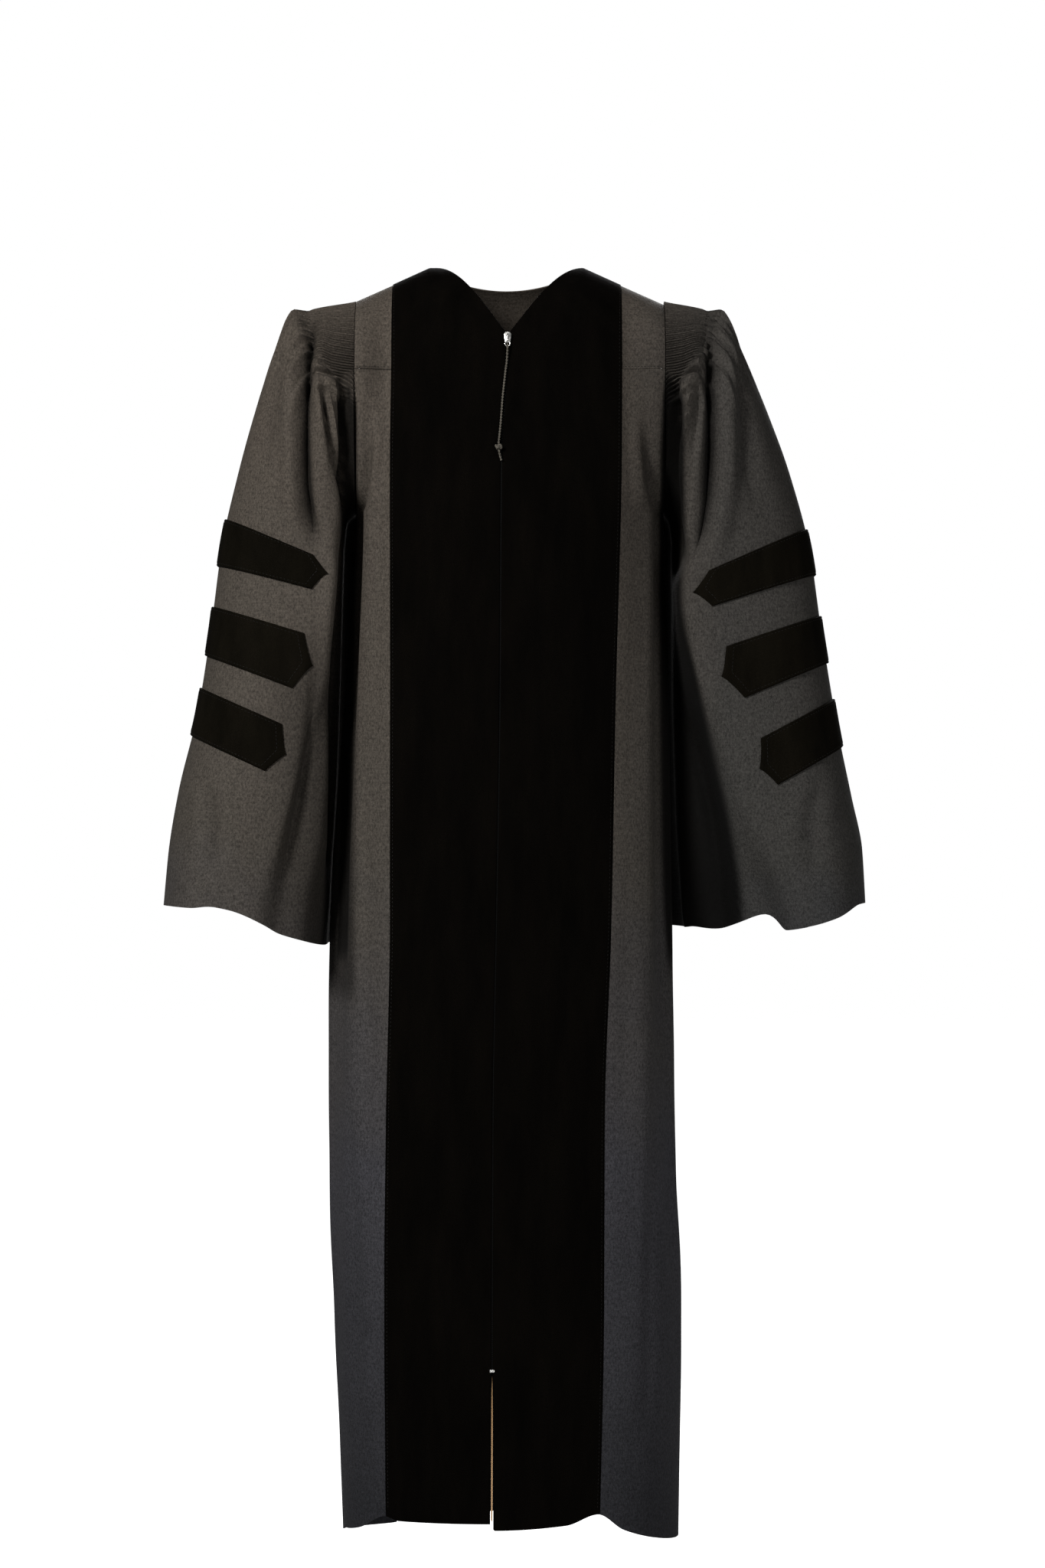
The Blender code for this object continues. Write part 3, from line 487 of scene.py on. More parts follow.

# Colours: the cloth's by height, with painted shade on its left side that turns to painted light at the hem,
# and the others'; and the twill
CLOTH_TONES = (
    (-1.22, (0.0105, 0.0106, 0.0120)),
    (-0.85, (0.0203, 0.0198, 0.0222)),
    (-0.50, (0.0275, 0.0240, 0.0200)),
    (0.08, (0.0340, 0.0283, 0.0228)),
)
LEFT_PAINTED_SHADE = (0.62, 0.68, 0.75)
LEFT_HEM_PAINTED_LIGHT = (1.15, 1.14, 1.13)
LEFT_PAINTED_SHADE_ACROSS = (0.10, 0.24)
LEFT_PAINTED_SHADE_HEIGHTS = (-1.15, -0.74)
VELVET_DARK = (0.0004, 0.0003, 0.0002)
VELVET_LIGHT = (0.0014, 0.0011, 0.0008)
BAR_DARK = (0.0012, 0.0010, 0.0006)
BAR_LIGHT = (0.0034, 0.0028, 0.0018)
THREAD = (0.0030, 0.0027, 0.0024)
PULL_CORD = (0.050, 0.045, 0.036)
NICKEL = (0.72, 0.71, 0.68)
# The colour that painted shade and the yoke seam's dark line darken the cloth towards
PAINTED_SHADE_AND_SEAM_COLOUR = (0.0006, 0.0005, 0.0004)
TWILL_PER_METRE = 650.0
EDGE_ANGLE = 50

# The view and the studio
CAMERA_X = 0.017845
CAMERA_Z = -0.572
FRONT_Y = -0.13
CAMERA_DISTANCE = 5.0
VIEW_HEIGHT = 1.70
FLOOR_Z = -1.60
FLOOR_SIZE = 30
BACKDROP_WHITE = 1.0
AMBIENT = 0.22
FLOOR_GLOW = 1.0
LIGHTS = {
    "key_light": dict(place=(-2.0, -2.9, 1.4), aim=(0, 0, -0.5), size=1.0, power=300),
    "fill_light": dict(place=(2.3, -3.4, -1.4), aim=(0, 0, -1.1), size=1.6, power=150),
    "back_light": dict(place=(0.3, 3.9, 1.4), aim=(0, 0, -0.6), size=2.4, power=260),
}


def ease(t):
    """0 up to t = 0 and 1 from t = 1, with a smooth rise between."""
    t = np.clip(t, 0, 1)
    return t * t * (3 - 2 * t)


def between(value, low, high, coming, going):
    """1 between two values, and 0 outside, coming in and going out over these lengths."""
    return ease((value - low) / coming) * ease((high - value) / going)


def bump(distance, width):
    """1 at distance 0, falling smoothly to 0 at width."""
    return (1 + np.cos(np.pi * np.clip(np.abs(distance) / width, 0, 1))) / 2


def stack(x, y, z):
    return np.stack(np.broadcast_arrays(x, y, z), axis=-1)


def normals(surface, u, v, sign):
    """Unit normals of a surface function at (u, v). sign is 1 where du x dv points outwards."""
    step = 1e-4
    across = surface(u + step, v) - surface(u - step, v)
    along = surface(u, v + step) - surface(u, v - step)
    n = np.cross(across, along) * sign
    return n / np.linalg.norm(n, axis=-1, keepdims=True)


def shoulder_ridge(x):
    """Height of the shoulder line, level at the neck and sloping down to the armhole."""
    return -SHOULDER_SLOPE * np.clip(np.abs(x) - NECK, 0, None)


def hem_drop(hem_line, z):
    """How far a hem that lies at hem_line, and not at HEM_Z, moves a row at height z."""
    share = np.clip((HEM_RISE_FROM - z) / (HEM_RISE_FROM - HEM_Z), 0, 1)
    return (hem_line - HEM_Z) * share


def body_depth(side_of_body, x, z):
    """Distance of the body's front or back from the shoulder plane, x being measured from its centre."""
    reach = np.clip(np.abs(x) / BODY.at("half_width", z), 0, 0.98)
    return BODY.at(side_of_body, z) * (1 - reach**SQUARENESS) ** (1 / SQUARENESS)


def side_edge(z, arm_depth, seam_z):
    """(x, depth, turn) where a front or back ends: on the armhole, or below it on the side seam."""
    share = np.clip((seam_z - z) / (seam_z - UNDERARM_Z), 0, 1)
    turn = np.radians(TURN_AT_YOKE + (TURN_AT_SIDE_SEAM - TURN_AT_YOKE) * share)
    return BODY.at("half_width", z), arm_depth * np.sqrt(1 - share**2), turn


def side_sweep(part, start, z, across, arm_depth, seam_z):
    """(x, depth) from a point on the front or back round to its side edge, across from 0 to 1."""
    step = 1e-4
    depth = body_depth(part, start, z)
    slope = (body_depth(part, start + step, z) - body_depth(part, start - step, z)) / (2 * step)
    out_x, out_depth, turn = side_edge(z, arm_depth, seam_z)
    reach = np.hypot(out_x - start, depth - out_depth) * SWEEP_REACH
    steep = reach / np.hypot(1, slope)
    x = hermite(across, start, out_x, steep, reach * np.cos(turn))
    d = hermite(across, depth, out_depth, steep * slope, -reach * np.sin(turn))
    return x, d


def velvet_edge(side, z):
    """The velvet's outer edge, measured outwards from the body's centre."""
    name = "velvet_left" if side > 0 else "velvet_right"
    return side * (FRONT_EDGES.at(name, z) - BODY.at("centre", z))


def zip_line(side, z):
    return side * (FRONT_EDGES.at("zip", z) - BODY.at("centre", z))


def plain_front(side, across, z):
    x, depth = side_sweep("front", velvet_edge(side, z), z, across, ARM_FRONT, FRONT_YOKE_Z)
    world_x = BODY.at("centre", z) + side * x
    return stack(world_x, -depth, z + hem_drop(FRONT_HEM.at("z", world_x), z))


def arch(base, angle):
    """A seam's point carried up over the shoulder: angle pi/2 is the seam itself, and 0 the shoulder line."""
    x, y, z = base[..., 0], base[..., 1], base[..., 2]
    ridge = shoulder_ridge(x)
    return stack(x, y * np.sin(angle), ridge + (z - ridge) * (1 - np.cos(angle)))


def along_at(angle):
    """The velvet's along value for an angle of the arch. Below the yoke seam, along is a height."""
    return FRONT_YOKE_Z + np.pi / 2 - angle


def middle_front(x, along):
    """The middle of the front, where the velvet lies: world x, and along as along_at() gives it."""
    z = np.minimum(along, FRONT_YOKE_Z)
    angle = np.pi / 2 - np.clip(along - FRONT_YOKE_Z, 0, np.pi / 2)
    depth = body_depth("front", x - BODY.at("centre", z), z)
    return arch(stack(x, -depth, z + hem_drop(FRONT_HEM.at("z", x), z)), angle)


def velvet_surface(side):
    """The velvet front, across from 0 at the zip or the neckline to 1 at its outer edge."""

    def surface(across, along):
        z = np.minimum(along, FRONT_YOKE_Z)
        neckline = np.clip((along - along_at(NECK_ANGLE)) / NECK_ANGLE, 0, 1) ** NECKLINE_POWER
        gap = ZIP_GAP + (VENT_GAP - ZIP_GAP) * ease((ZIP_END_Z - z) / VENT_FADE)
        inner = zip_line(side, z) + gap
        inner = inner + (NECK - inner) * neckline
        outer = velvet_edge(side, z) - SEAM
        return middle_front(BODY.at("centre", z) + side * (inner + (outer - inner) * across), along)

    return surface


def tape_surface(offset, along):
    """The zip tape, offset being measured from the zip's line."""
    return middle_front(FRONT_EDGES.at("zip", np.minimum(along, FRONT_YOKE_Z)) + offset, along)


def plain_back(across, z):
    """The back before it is gathered: across from -1 at the right side seam to 1 at the left."""
    reach = np.abs(across)
    outer_share = np.clip((reach - BACK_LEVEL_SHARE) / (1 - BACK_LEVEL_SHARE), 0, None)
    swept_x, swept_depth = side_sweep("back", BACK_LEVEL_REACH, z, outer_share, ARM_BACK, BACK_YOKE_Z)
    level_x = BACK_LEVEL_REACH * reach / BACK_LEVEL_SHARE
    inside = reach < BACK_LEVEL_SHARE
    x = np.where(inside, level_x, swept_x)
    depth = np.where(inside, body_depth("back", level_x, z), swept_depth)
    return stack(BODY.at("centre", z) + np.sign(across) * x, depth, z + hem_drop(BACK_HEM_Z, z))


def yoke_back_surface(across, share):
    """The back yoke, from its neckline and shoulder line at share 0 down to its seam at share 1."""
    base = plain_back(across, BACK_YOKE_Z + 0 * across)
    top = NECK_DIP * np.sqrt(np.clip(1 - (base[..., 0] / NECK) ** 2, 0, 1))
    return arch(base, top + share * (np.pi / 2 - top))


def plain_sleeve(name, turn, down):
    """A sleeve with no folds, turn being a share of the ring from its outer line over the front."""
    sizes = SLEEVES[name]
    out_x, out_z, in_x, in_z = (sizes.at(column, down) for column in ("out_x", "out_z", "in_x", "in_z"))
    angle = 2 * np.pi * turn
    power = 2 / (2 + (SLEEVE_SQUARENESS - 2) * ease(down / SQUARE_FROM))
    in_front = np.sin(angle) > 0
    power = power + np.where(in_front & (np.cos(angle) < 0), INNER_WALLS.at(f"hollow_{name}", down), 0)
    inwards = np.sign(np.cos(angle)) * np.abs(np.cos(angle)) ** power
    forwards = np.abs(np.sin(angle)) ** power
    share = np.where(in_front, sizes.at("front_share", down), BACK_SHARE)
    depth = np.where(in_front, -sizes.at("front", down), sizes.at("back", down))
    share = share * (1 - np.clip(inwards, 0, 1)) + (1 - share) * np.clip(-inwards, 0, 1)
    x = out_x + (in_x - out_x) * share
    x = x - INNER_WALLS.at(f"tuck_{name}", down) * bump(turn % 1 - TUCK_TURN, TUCK_WIDTH)
    sag = CUFF_SAG.at(name, turn % 1) * ease((down - sizes.rows[-3, 0]) / CUFF_SAG_LENGTH)
    z = out_z + (in_z - out_z) * share - sag
    return stack(SIDES[name] * x, depth * forwards, z)


def zip_along(z):
    """The along value of a height on the middle of the front, where the shoulder line is at 0."""
    return np.where(z > FRONT_YOKE_Z, along_at(np.arccos(1 - np.maximum(z, FRONT_YOKE_Z) / FRONT_YOKE_Z)), z)


def zip_frame(z):
    """A matrix at the zip's line: local Y goes into the gown, and Z up along the zip."""
    along = zip_along(np.array([z]))
    into = -Vector(normals(tape_surface, np.zeros(1), along, 1)[0])
    right = Vector((1, 0, 0))
    turn = Matrix((right, into, right.cross(into))).transposed().to_4x4()
    return Matrix.Translation(tape_surface(np.zeros(1), along)[0]) @ turn


def face_lift(depth):
    """How far out a piece's middle is, where its back is just clear of the velvet's face."""
    return VELVET - CLOTH / 2 + SEAM + depth / 2


def cord_point(length):
    """Points of the cord's route, stand_off being its middle's height over the velvet."""
    x, z, stand_off = (CORD_ROUTE.at(column, length) for column in ("x", "z", "stand_off"))
    along = zip_along(z)
    lift = VELVET - CLOTH / 2 + stand_off
    return middle_front(x, along) + lift[..., None] * normals(middle_front, x, along, 1)


# Creases and ripples of the cloth


def crease(distance, width):
    """A valley, -1 at its sharp bottom, between two low rounded lips."""
    t = np.abs(distance) / width
    return CREASE_LIP * bump(t - CREASE_LIP_AT, 1.0) - np.clip(1 - t, 0, 1) ** CREASE_SHARPNESS


def fold_depth(folds, x, z):
    """Depths of hanging creases. Each runs down its line x(z) from the first row to the last."""
    total = np.zeros(np.broadcast(x, z).shape)
    for line, width, depth in folds:
        top, end = line.rows[-1, 0], line.rows[0, 0]
        ends = min(FOLD_ENDS, 0.4 * (top - end))
        fade = ease((top - z) / ends + 0.2) * ease((z - end) / ends)
        reach = width * (0.7 + 0.5 * np.clip((top - z) / (top - end), 0, 1))
        total = total + depth * fade * crease(x - line.at("x", z), reach)
    return total


def ripple(u, v, seed, finest, count=14):
    """A soft unevenness from -1 to 1: waves with fixed random directions, finest being the shortest one."""
    chance = np.random.default_rng(seed)
    total = np.zeros(np.broadcast(u, v).shape)
    for _ in range(count):
        length = finest * chance.uniform(1, 5)
        angle, phase = chance.uniform(0, 2 * np.pi, 2)
        total = total + np.sin((u * np.cos(angle) + v * np.sin(angle)) * 2 * np.pi / length + phase)
    return total / count * 2


def bent(edge_distance, radius):
    """The height of a rolled edge, 0 at the edge and 1 from radius inwards."""
    d = np.clip(edge_distance / radius, 0, 1)
    return np.sqrt(1 - (1 - d) ** 2)


# Meshes


def link(name, data):
    made = bpy.data.objects.new(name, data)
    bpy.context.scene.collection.objects.link(made)
    return made


def add_piece(name, mesh, finish, slot, nodes=(), smooth=True):
    """An object on the gown's body, standing for the named solids."""
    if smooth:
        mesh.shade_smooth()
        mesh.set_sharp_from_angle(angle=math.radians(EDGE_ANGLE))
    mesh.materials.append(finish)
    made = link(name, mesh)
    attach(made, "root")
    if nodes:
        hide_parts(*nodes)
    return made


def numbered(lengths):
    """Point numbers for rows of these lengths."""
    starts = np.concatenate([[0], np.cumsum(lengths)]).tolist()
    return [list(range(a, b)) for a, b in zip(starts, starts[1:])]


def lattice_faces(rows, around=False):
    """Faces between rows of point numbers. A row may have half as many steps as the one before it."""
    faces = []
    for near, far in zip(rows, rows[1:]):
        for k in range(len(far) - (not around)):
            a, b = far[k], far[(k + 1) % len(far)]
            if len(near) > len(far):
                c, d, e = near[2 * k], near[2 * k + 1], near[(2 * k + 2) % len(near)]
                faces += [(c, d, a), (d, b, a), (d, e, b)]
            else:
                faces.append((near[k], near[(k + 1) % len(near)], b, a))
    return faces


def closed_mesh(name, source, place=None):
    """A mesh of what source holds, with its faces turned outwards, moved to its place."""
    bmesh.ops.recalc_face_normals(source, faces=source.faces)
    if place:
        bmesh.ops.transform(source, matrix=place, verts=source.verts)
    mesh = bpy.data.meshes.new(name)
    source.to_mesh(mesh)
    source.free()
    return mesh


def turned_out(points, faces, name):
    """A mesh of these points whose faces point outwards."""
    source = bmesh.new()
    verts = [source.verts.new(p) for p in points]
    for face in faces:
        source.faces.new([verts[i] for i in face])
    return closed_mesh(name, source)


def thick_mesh(name, outer, inner, faces):
    """A closed shell between two layers of points that share their faces."""
    count = len(outer)
    edges = {(a, b) for face in faces for a, b in zip(face, face[1:] + face[:1])}
    shell = faces + [tuple(i + count for i in reversed(face)) for face in faces]
    shell += [(b, a, a + count, b + count) for a, b in sorted(edges) if (b, a) not in edges]
    return turned_out(np.concatenate([outer, inner]), shell, name)


def painted_shade_and_seam(points):
    """How much painted shade darkens the cloth at each point, from 0 to 1, in the deep folds and the softer
    painted shades, and along the front yoke seam's dark line.
    """
    x, y, z = points.T
    deep = 0.0 * x
    for name, side in SIDES.items():
        table, edge = DEEP_FOLDS[name], DEEP_FOLD_EDGE[name]
        low, high = table.rows[0, 0], table.rows[-1, 0]
        near, far = (table.at(column, np.clip(z, low, high)) for column in ("near", "far"))
        inside = between(side * x, near - edge / 2, far + edge / 2, edge, edge)
        inside = inside * between(z, low, high + DEEP_FOLD_RISE, *DEEP_FOLD_FADES)
        deep = np.maximum(deep, DEEP_FOLD_PAINTED_SHADE[name] * inside * ease((DEEP_FOLD_BACK - y) / 0.03))
    soft = YOKE_SEAM_TONE * bump(z - FRONT_YOKE_Z, YOKE_SEAM_WIDTH)
    soft = soft * ease((YOKE_SEAM_REACH - np.abs(x)) / 0.001)
    for shade in SOFT_PAINTED_SHADES:
        soft = np.maximum(soft, shade["tone"] * between(x, *shade["across"]) * between(z, *shade["upright"]))
    return np.maximum(deep, soft * ease((-y - 0.005) / 0.02))


def cloth(
    name, form, rows, finish, slot, nodes, low=-CLOTH / 2, high=CLOTH / 2, lowest=-np.inf, highest=np.inf,
    around=False, painted_hollow_shade=None,
):
    """A shell of cloth. form gives (plain, out, depth) for u and v, and each of the rows is its u values and
    v. low and high are its two faces' heights over the form, numbers or functions of (u, v), and
    painted_hollow_shade tells how much painted shade darkens it at (u, v)."""
    faces = lattice_faces(numbered([len(u) for u, _ in rows]), around)
    u = np.concatenate([r[0] for r in rows])
    v = np.concatenate([np.full(len(r[0]), float(r[1])) for r in rows])
    plain, out, depth = form(u, v)
    layers = []
    for offset in (high, low):
        height = depth + (offset(u, v) if callable(offset) else offset)
        layers.append(np.clip(plain + out * height[:, None], lowest, highest))
    mesh = thick_mesh(name, *layers, faces)
    # Painted shade, with the yoke seam's dark line, kept as a point attribute that the material reads
    shade = mesh.attributes.new("painted_shade_and_seam", "FLOAT", "POINT")
    shades = painted_shade_and_seam(np.concatenate(layers))
    if painted_hollow_shade:
        shades = np.maximum(shades, np.tile(painted_hollow_shade(u, v), 2))
    shade.data.foreach_set("value", shades.astype(np.float32))
    return add_piece(name, mesh, finish, slot, nodes)


def strokes(name, runs, finish, slot, width, lift):
    """Stitches: low rounded bars of thread from each start to its end, standing out of the cloth by lift."""
    starts, ends, outs = (np.concatenate(part) for part in zip(*runs))
    run = ends - starts
    side = np.cross(run, outs)
    side = side / np.linalg.norm(side, axis=1, keepdims=True) * width / 2
    points, faces = [], []
    profile = ((0.0, 0.35, 0.1), (0.25, 1.0, 0.9), (0.75, 1.0, 0.9), (1.0, 0.35, 0.1))
    section = ((-1.0, 0.0), (-0.6, 0.8), (0.6, 0.8), (1.0, 0.0))
    for share, wide, high in profile:
        for across, up in section:
            points.append(starts + run * share + side * across * wide + outs * lift * (high * up - 0.25))
    points = np.stack(points, axis=1).reshape(-1, 3)
    count = len(profile) * len(section)
    for n in range(len(starts)):
        rows = numbered([len(section)] * len(profile))
        for near, far in zip(rows, rows[1:]):
            for k in range(len(section) - 1):
                faces.append(tuple(n * count + i for i in (near[k], near[k + 1], far[k + 1], far[k])))
    return add_piece(name, turned_out(points, faces, name), finish, slot, smooth=False)


def stitch_line(points, outs, pitch, length):
    """Starts, ends and outward directions of stitches along a line of close points."""
    gone = np.concatenate([[0], np.cumsum(np.linalg.norm(np.diff(points, axis=0), axis=1))])
    begin = np.arange(pitch / 2, gone[-1] - length, pitch)

    def at(values, where):
        return np.stack([np.interp(where, gone, values[:, k]) for k in range(3)], axis=1)

    return at(points, begin), at(points, begin + length), at(outs, begin + length / 2)


# Forms of the cloth pieces: (plain, out, depth) for (u, v)


def plain_form(surface, u, v, sign):
    """The (plain, out, depth) of a surface with no creases of its own."""
    return surface(u, v), normals(surface, u, v, sign), np.zeros(u.shape)


def front_form(side, u, z):
    name = "left" if side > 0 else "right"
    plain, out, depth = plain_form(lambda a, b: plain_front(side, a, b), u, z, side)
    x, height = plain[..., 0], plain[..., 2]
    for fold in FRONT_FOLDS:
        fade = ease((fold["top"] - z) / FRONT_FOLD_START) * ease((z - fold["end"]) / FRONT_FOLD_FADE)
        depth = depth + fold["depth"] * fade * bump(u - fold["across"], fold["width"])
    depth = depth + fold_depth(FRONT_CREASES[name], x, height)
    for middle_x, middle_z, slope, width, amount in PUCKERS[name]:
        along = (x - middle_x) * math.cos(slope) + (height - middle_z) * math.sin(slope)
        over = -(x - middle_x) * math.sin(slope) + (height - middle_z) * math.cos(slope)
        depth = depth + amount * bump(along, PUCKER_REACH) * bump(over, width)
    loose = ease((FRONT_YOKE_Z - z) / 0.08)
    return plain, out, depth + loose * RIPPLE * ripple(x, height * 0.35, 11 + side, 0.030)


def velvet_form(side, u, along):
    plain, out, _ = plain_form(velvet_surface(side), u, along, side)
    loose = ease((FRONT_YOKE_Z - along) / 0.10) * between(u, 0, 1, 0.05, 0.05)
    return plain, out, loose * RIPPLE * 0.8 * ripple(plain[..., 0], plain[..., 2] * 0.3, 31 + side, 0.040)


def yoke_form(side, u, angle):
    return plain_form(lambda a, b: arch(plain_front(side, a, FRONT_YOKE_Z + 0 * a), b), u, angle, -side)


def yoke_back_form(u, share):
    return plain_form(yoke_back_surface, u, share, 1)


def fine_gathers(u, z):
    """The fine gathers of the back: their wave from -1 to 1, and how it dies away below the yoke."""
    wave = np.cos(np.pi * FINE_GATHERS * u + 1.5 * np.sin(9 * u))
    return wave, np.exp((z - BACK_YOKE_Z) / FINE_GATHER_LENGTH)


def back_form(u, z):
    plain, out, depth = plain_form(plain_back, u, z, -1)
    below = BACK_YOKE_Z - z
    from_side = 1 - np.abs(u)
    wave, left = fine_gathers(u, z)
    wide = np.cos(np.pi * BACK_GATHERS * u + 2.0 * np.sin(5 * u)) * bump(below - 0.03, BACK_GATHER_DROP)
    depth = ease(from_side / BACK_GATHER_FADE) * (FINE_GATHER_DEPTH * wave * left + BACK_GATHER_DEPTH * wide)
    for fold in BACK_FOLDS:
        growth = np.clip((fold["top"] - z) / (fold["top"] - HEM_Z), 0, 1) ** BACK_FOLD_GROWTH
        middle = fold["across"] + BACK_FOLD_SWAY * np.sin(7 * z + 9 * fold["across"])
        depth = depth + fold["depth"] * growth * (bump(u - middle, fold["width"]) - BACK_FOLD_MIDDLE)
    depth = depth + ease(below / 0.1) * RIPPLE * ripple(plain[..., 0], plain[..., 2] * 0.25, 51, 0.035)
    return plain, out, depth * ease(from_side / BACK_SIDE_FADE)


def seam_share(turn, down):
    """The share of the ring at the seam from which the gather through this point comes."""
    share = turn
    for _ in range(8):
        share = turn + GATHER_LEAN * np.minimum(down, GATHER_WIDTH) * np.sin(2 * np.pi * share)
    return share


def leant(share, down):
    """The turn of a lattice column at this length down: it follows the gathers that start at share."""
    return share - GATHER_LEAN * min(down, GATHER_WIDTH) * np.sin(2 * np.pi * share)


def gathers_at(turn, down):
    """A point's share of the ring at the seam, how far past its gather's end, and 1 where it is held."""
    share = seam_share(turn, down)
    from_top = np.minimum(share % 1, 1 - share % 1)
    held = ease((GATHER_LAST - from_top) / GATHER_LAST_FADE)
    return share, down - GATHER_ENDS.at("end", from_top), held


def gather_depth(turn, down):
    """Fine flutes beside the seam, and past their end the puckers and small folds that they open into."""
    share, past, held = gathers_at(turn, down)

    def wave(count, shift=0.0):
        return np.sin(2 * np.pi * count * share + shift)

    depth = held * FLUTE_HEIGHT * np.cos(2 * np.pi * FLUTE_COUNT * share) * ease(-past / GATHER_END_FADE)
    uneven = 1 + 0.6 * wave(13, 1) * wave(29)
    for count, height, start, fade in PUCKER_WAVES:
        pucker = np.cos(2 * np.pi * count * share + 0.5 * wave(7, count) + 12 * past * wave(5))
        fades = ease((past - start) / GATHER_END_FADE) * ease((fade - past) / fade)
        depth = depth + held * uneven * height * pucker * fades
    return depth + held * PUFF * ease(past / PUFF_RISE) * ease((PUFF_FADE - past) / PUFF_FADE)


def sleeve_creases(name, plain):
    """Depths of a sleeve's hanging creases, which are in its front."""
    in_front = ease((-plain[..., 1] - 0.01) / 0.03)
    return in_front * fold_depth(SLEEVE_CREASES[name], plain[..., 0], plain[..., 2])


def sleeve_form(name, turn, down, fluted=True):
    side = SIDES[name]
    plain, out, depth = plain_form(lambda a, b: plain_sleeve(name, a, b), turn, down, side)
    if fluted:
        depth = gather_depth(turn, down)
    for fold in SLEEVE_FOLDS:
        top, end = fold["top"], fold["end"]
        middle = fold["turn"] + fold["drift"] * (down - top) / (end - top)
        fade = ease((down - top) / SLEEVE_FOLD_START) * ease((end - down) / SLEEVE_FOLD_FADE)
        depth = depth + fold["depth"] * fade * bump((turn - middle + 0.5) % 1 - 0.5, fold["width"])
    loose = between(down, 0.05, 0.74, 0.1, 0.05)
    uneven = RIPPLE * ripple(turn * 0.8, down * 0.5, 71 + side, 0.050)
    depth = depth + sleeve_creases(name, plain) + loose * uneven
    if name == "left":
        z = plain[..., 2]
        inside = ease((SLEEVE_HOLLOW.at("x", z) - plain[..., 0]) / HOLLOW_SLOPE)
        share = inside * ease((HOLLOW_TOP - z) / HOLLOW_GROWTH)
        plain = plain + stack(0, share * HOLLOW_SHARE * np.clip(-plain[..., 1], 0, None), 0 * share)
    return plain, out, depth


def sleeve_painted_hollow_shade(name, turn, down):
    """How much painted shade darkens a sleeve in the bottoms of its creases and between its gathers."""
    share, past, held = gathers_at(turn, down)
    bottoms = np.clip(-sleeve_creases(name, plain_sleeve(name, turn, down)) / FOLD_FULL, 0, 1)
    valleys = (1 - np.cos(2 * np.pi * FLUTE_COUNT * share)) / 2 * ease(-past / GATHER_END_FADE)
    lip = LIP_PAINTED_SHADE * bump(past - 0.004, 0.012) * (0.55 + 0.45 * np.sin(2 * np.pi * 64 * share + 2))
    return np.clip(FOLD_PAINTED_SHADE * bottoms**1.5 + held * (GATHER_PAINTED_SHADE * valleys + lip), 0, 0.9)


def back_painted_hollow_shade(u, z):
    """How much painted shade darkens the back between its gathers under the yoke."""
    wave, left = fine_gathers(u, z)
    return GATHER_PAINTED_SHADE * left * ease((1 - np.abs(u)) / BACK_GATHER_FADE) * (1 - wave) / 2


# Materials


def put(tree, socket, value):
    """Joins a socket to another one, or gives it a number or colour of its own."""
    if isinstance(value, bpy.types.NodeSocket):
        tree.links.new(value, socket)
    else:
        socket.default_value = value


def grey(value):
    return (value, value, value)


class Nodes:
    def __init__(self, name):
        self.material = bpy.data.materials.new(name)
        self.material.use_nodes = True
        self.tree = self.material.node_tree
        self.shader = self.tree.nodes["Principled BSDF"]
        self.place = self.add("ShaderNodeTexCoord").outputs["Object"]

    def add(self, kind, inputs=None, **settings):
        node = self.tree.nodes.new(kind)
        for key, value in settings.items():
            setattr(node, key, value)
        for key, value in (inputs or {}).items():
            put(self.tree, node.inputs[key], value)
        return node

    def axis(self, name):
        return self.add("ShaderNodeSeparateXYZ", {"Vector": self.place}).outputs[name]

    def noise(self, scale, detail=2.0, roughness=0.5, place=None):
        inputs = {"Vector": place or self.place, "Scale": scale, "Detail": detail, "Roughness": roughness}
        return self.add("ShaderNodeTexNoise", inputs).outputs["Fac"]

    def stretched(self, scale):
        """The place, scaled along each axis."""
        return self.add("ShaderNodeMapping", {"Vector": self.place, "Scale": scale}).outputs["Vector"]

    def ribs(self, direction, per_metre):
        """Waves from 0 to 1 across a direction of the row frame."""
        turned = self.add("ShaderNodeVectorMath", {0: self.place, 1: direction}, operation="DOT_PRODUCT")
        phase = self.math("MULTIPLY", turned.outputs["Value"], 2 * math.pi * per_metre)
        return self.math("MULTIPLY_ADD", self.math("SINE", phase), 0.5, 0.5)

    def math(self, operation, *values):
        return self.add("ShaderNodeMath", dict(enumerate(values)), operation=operation).outputs["Value"]

    def mixed(self, share, a, b, kind="MIX"):
        """A colour from a to b by a share."""
        a, b = (c if isinstance(c, bpy.types.NodeSocket) else (*c, 1) for c in (a, b))
        inputs = {"Factor": share, 6: a, 7: b}
        return self.add("ShaderNodeMix", inputs, data_type="RGBA", blend_type=kind).outputs[2]

    def times(self, a, b):
        """The product of two colours."""
        return self.mixed(1, a, b, "MULTIPLY")

    def range(self, value, low, high, to_low=0.0, to_high=1.0):
        inputs = {"Value": value, "From Min": low, "From Max": high, "To Min": to_low, "To Max": to_high}
        return self.add("ShaderNodeMapRange", inputs).outputs["Result"]

    def bump(self, height, distance, strength, below=None):
        inputs = {"Height": height, "Distance": distance, "Strength": strength}
        if below is not None:
            inputs["Normal"] = below
        return self.add("ShaderNodeBump", inputs).outputs["Normal"]

    def finish(self, colour, roughness, normal, **constants):
        """Sets colour, roughness and normal, if there is one, and the shader's own numbers."""
        inputs = {"Base Color": colour, "Roughness": roughness, "Normal": normal}
        inputs.update((key.replace("_", " "), value) for key, value in constants.items())
        for key, value in inputs.items():
            if value is not None:
                put(self.tree, self.shader.inputs[key], value)
        return self.material


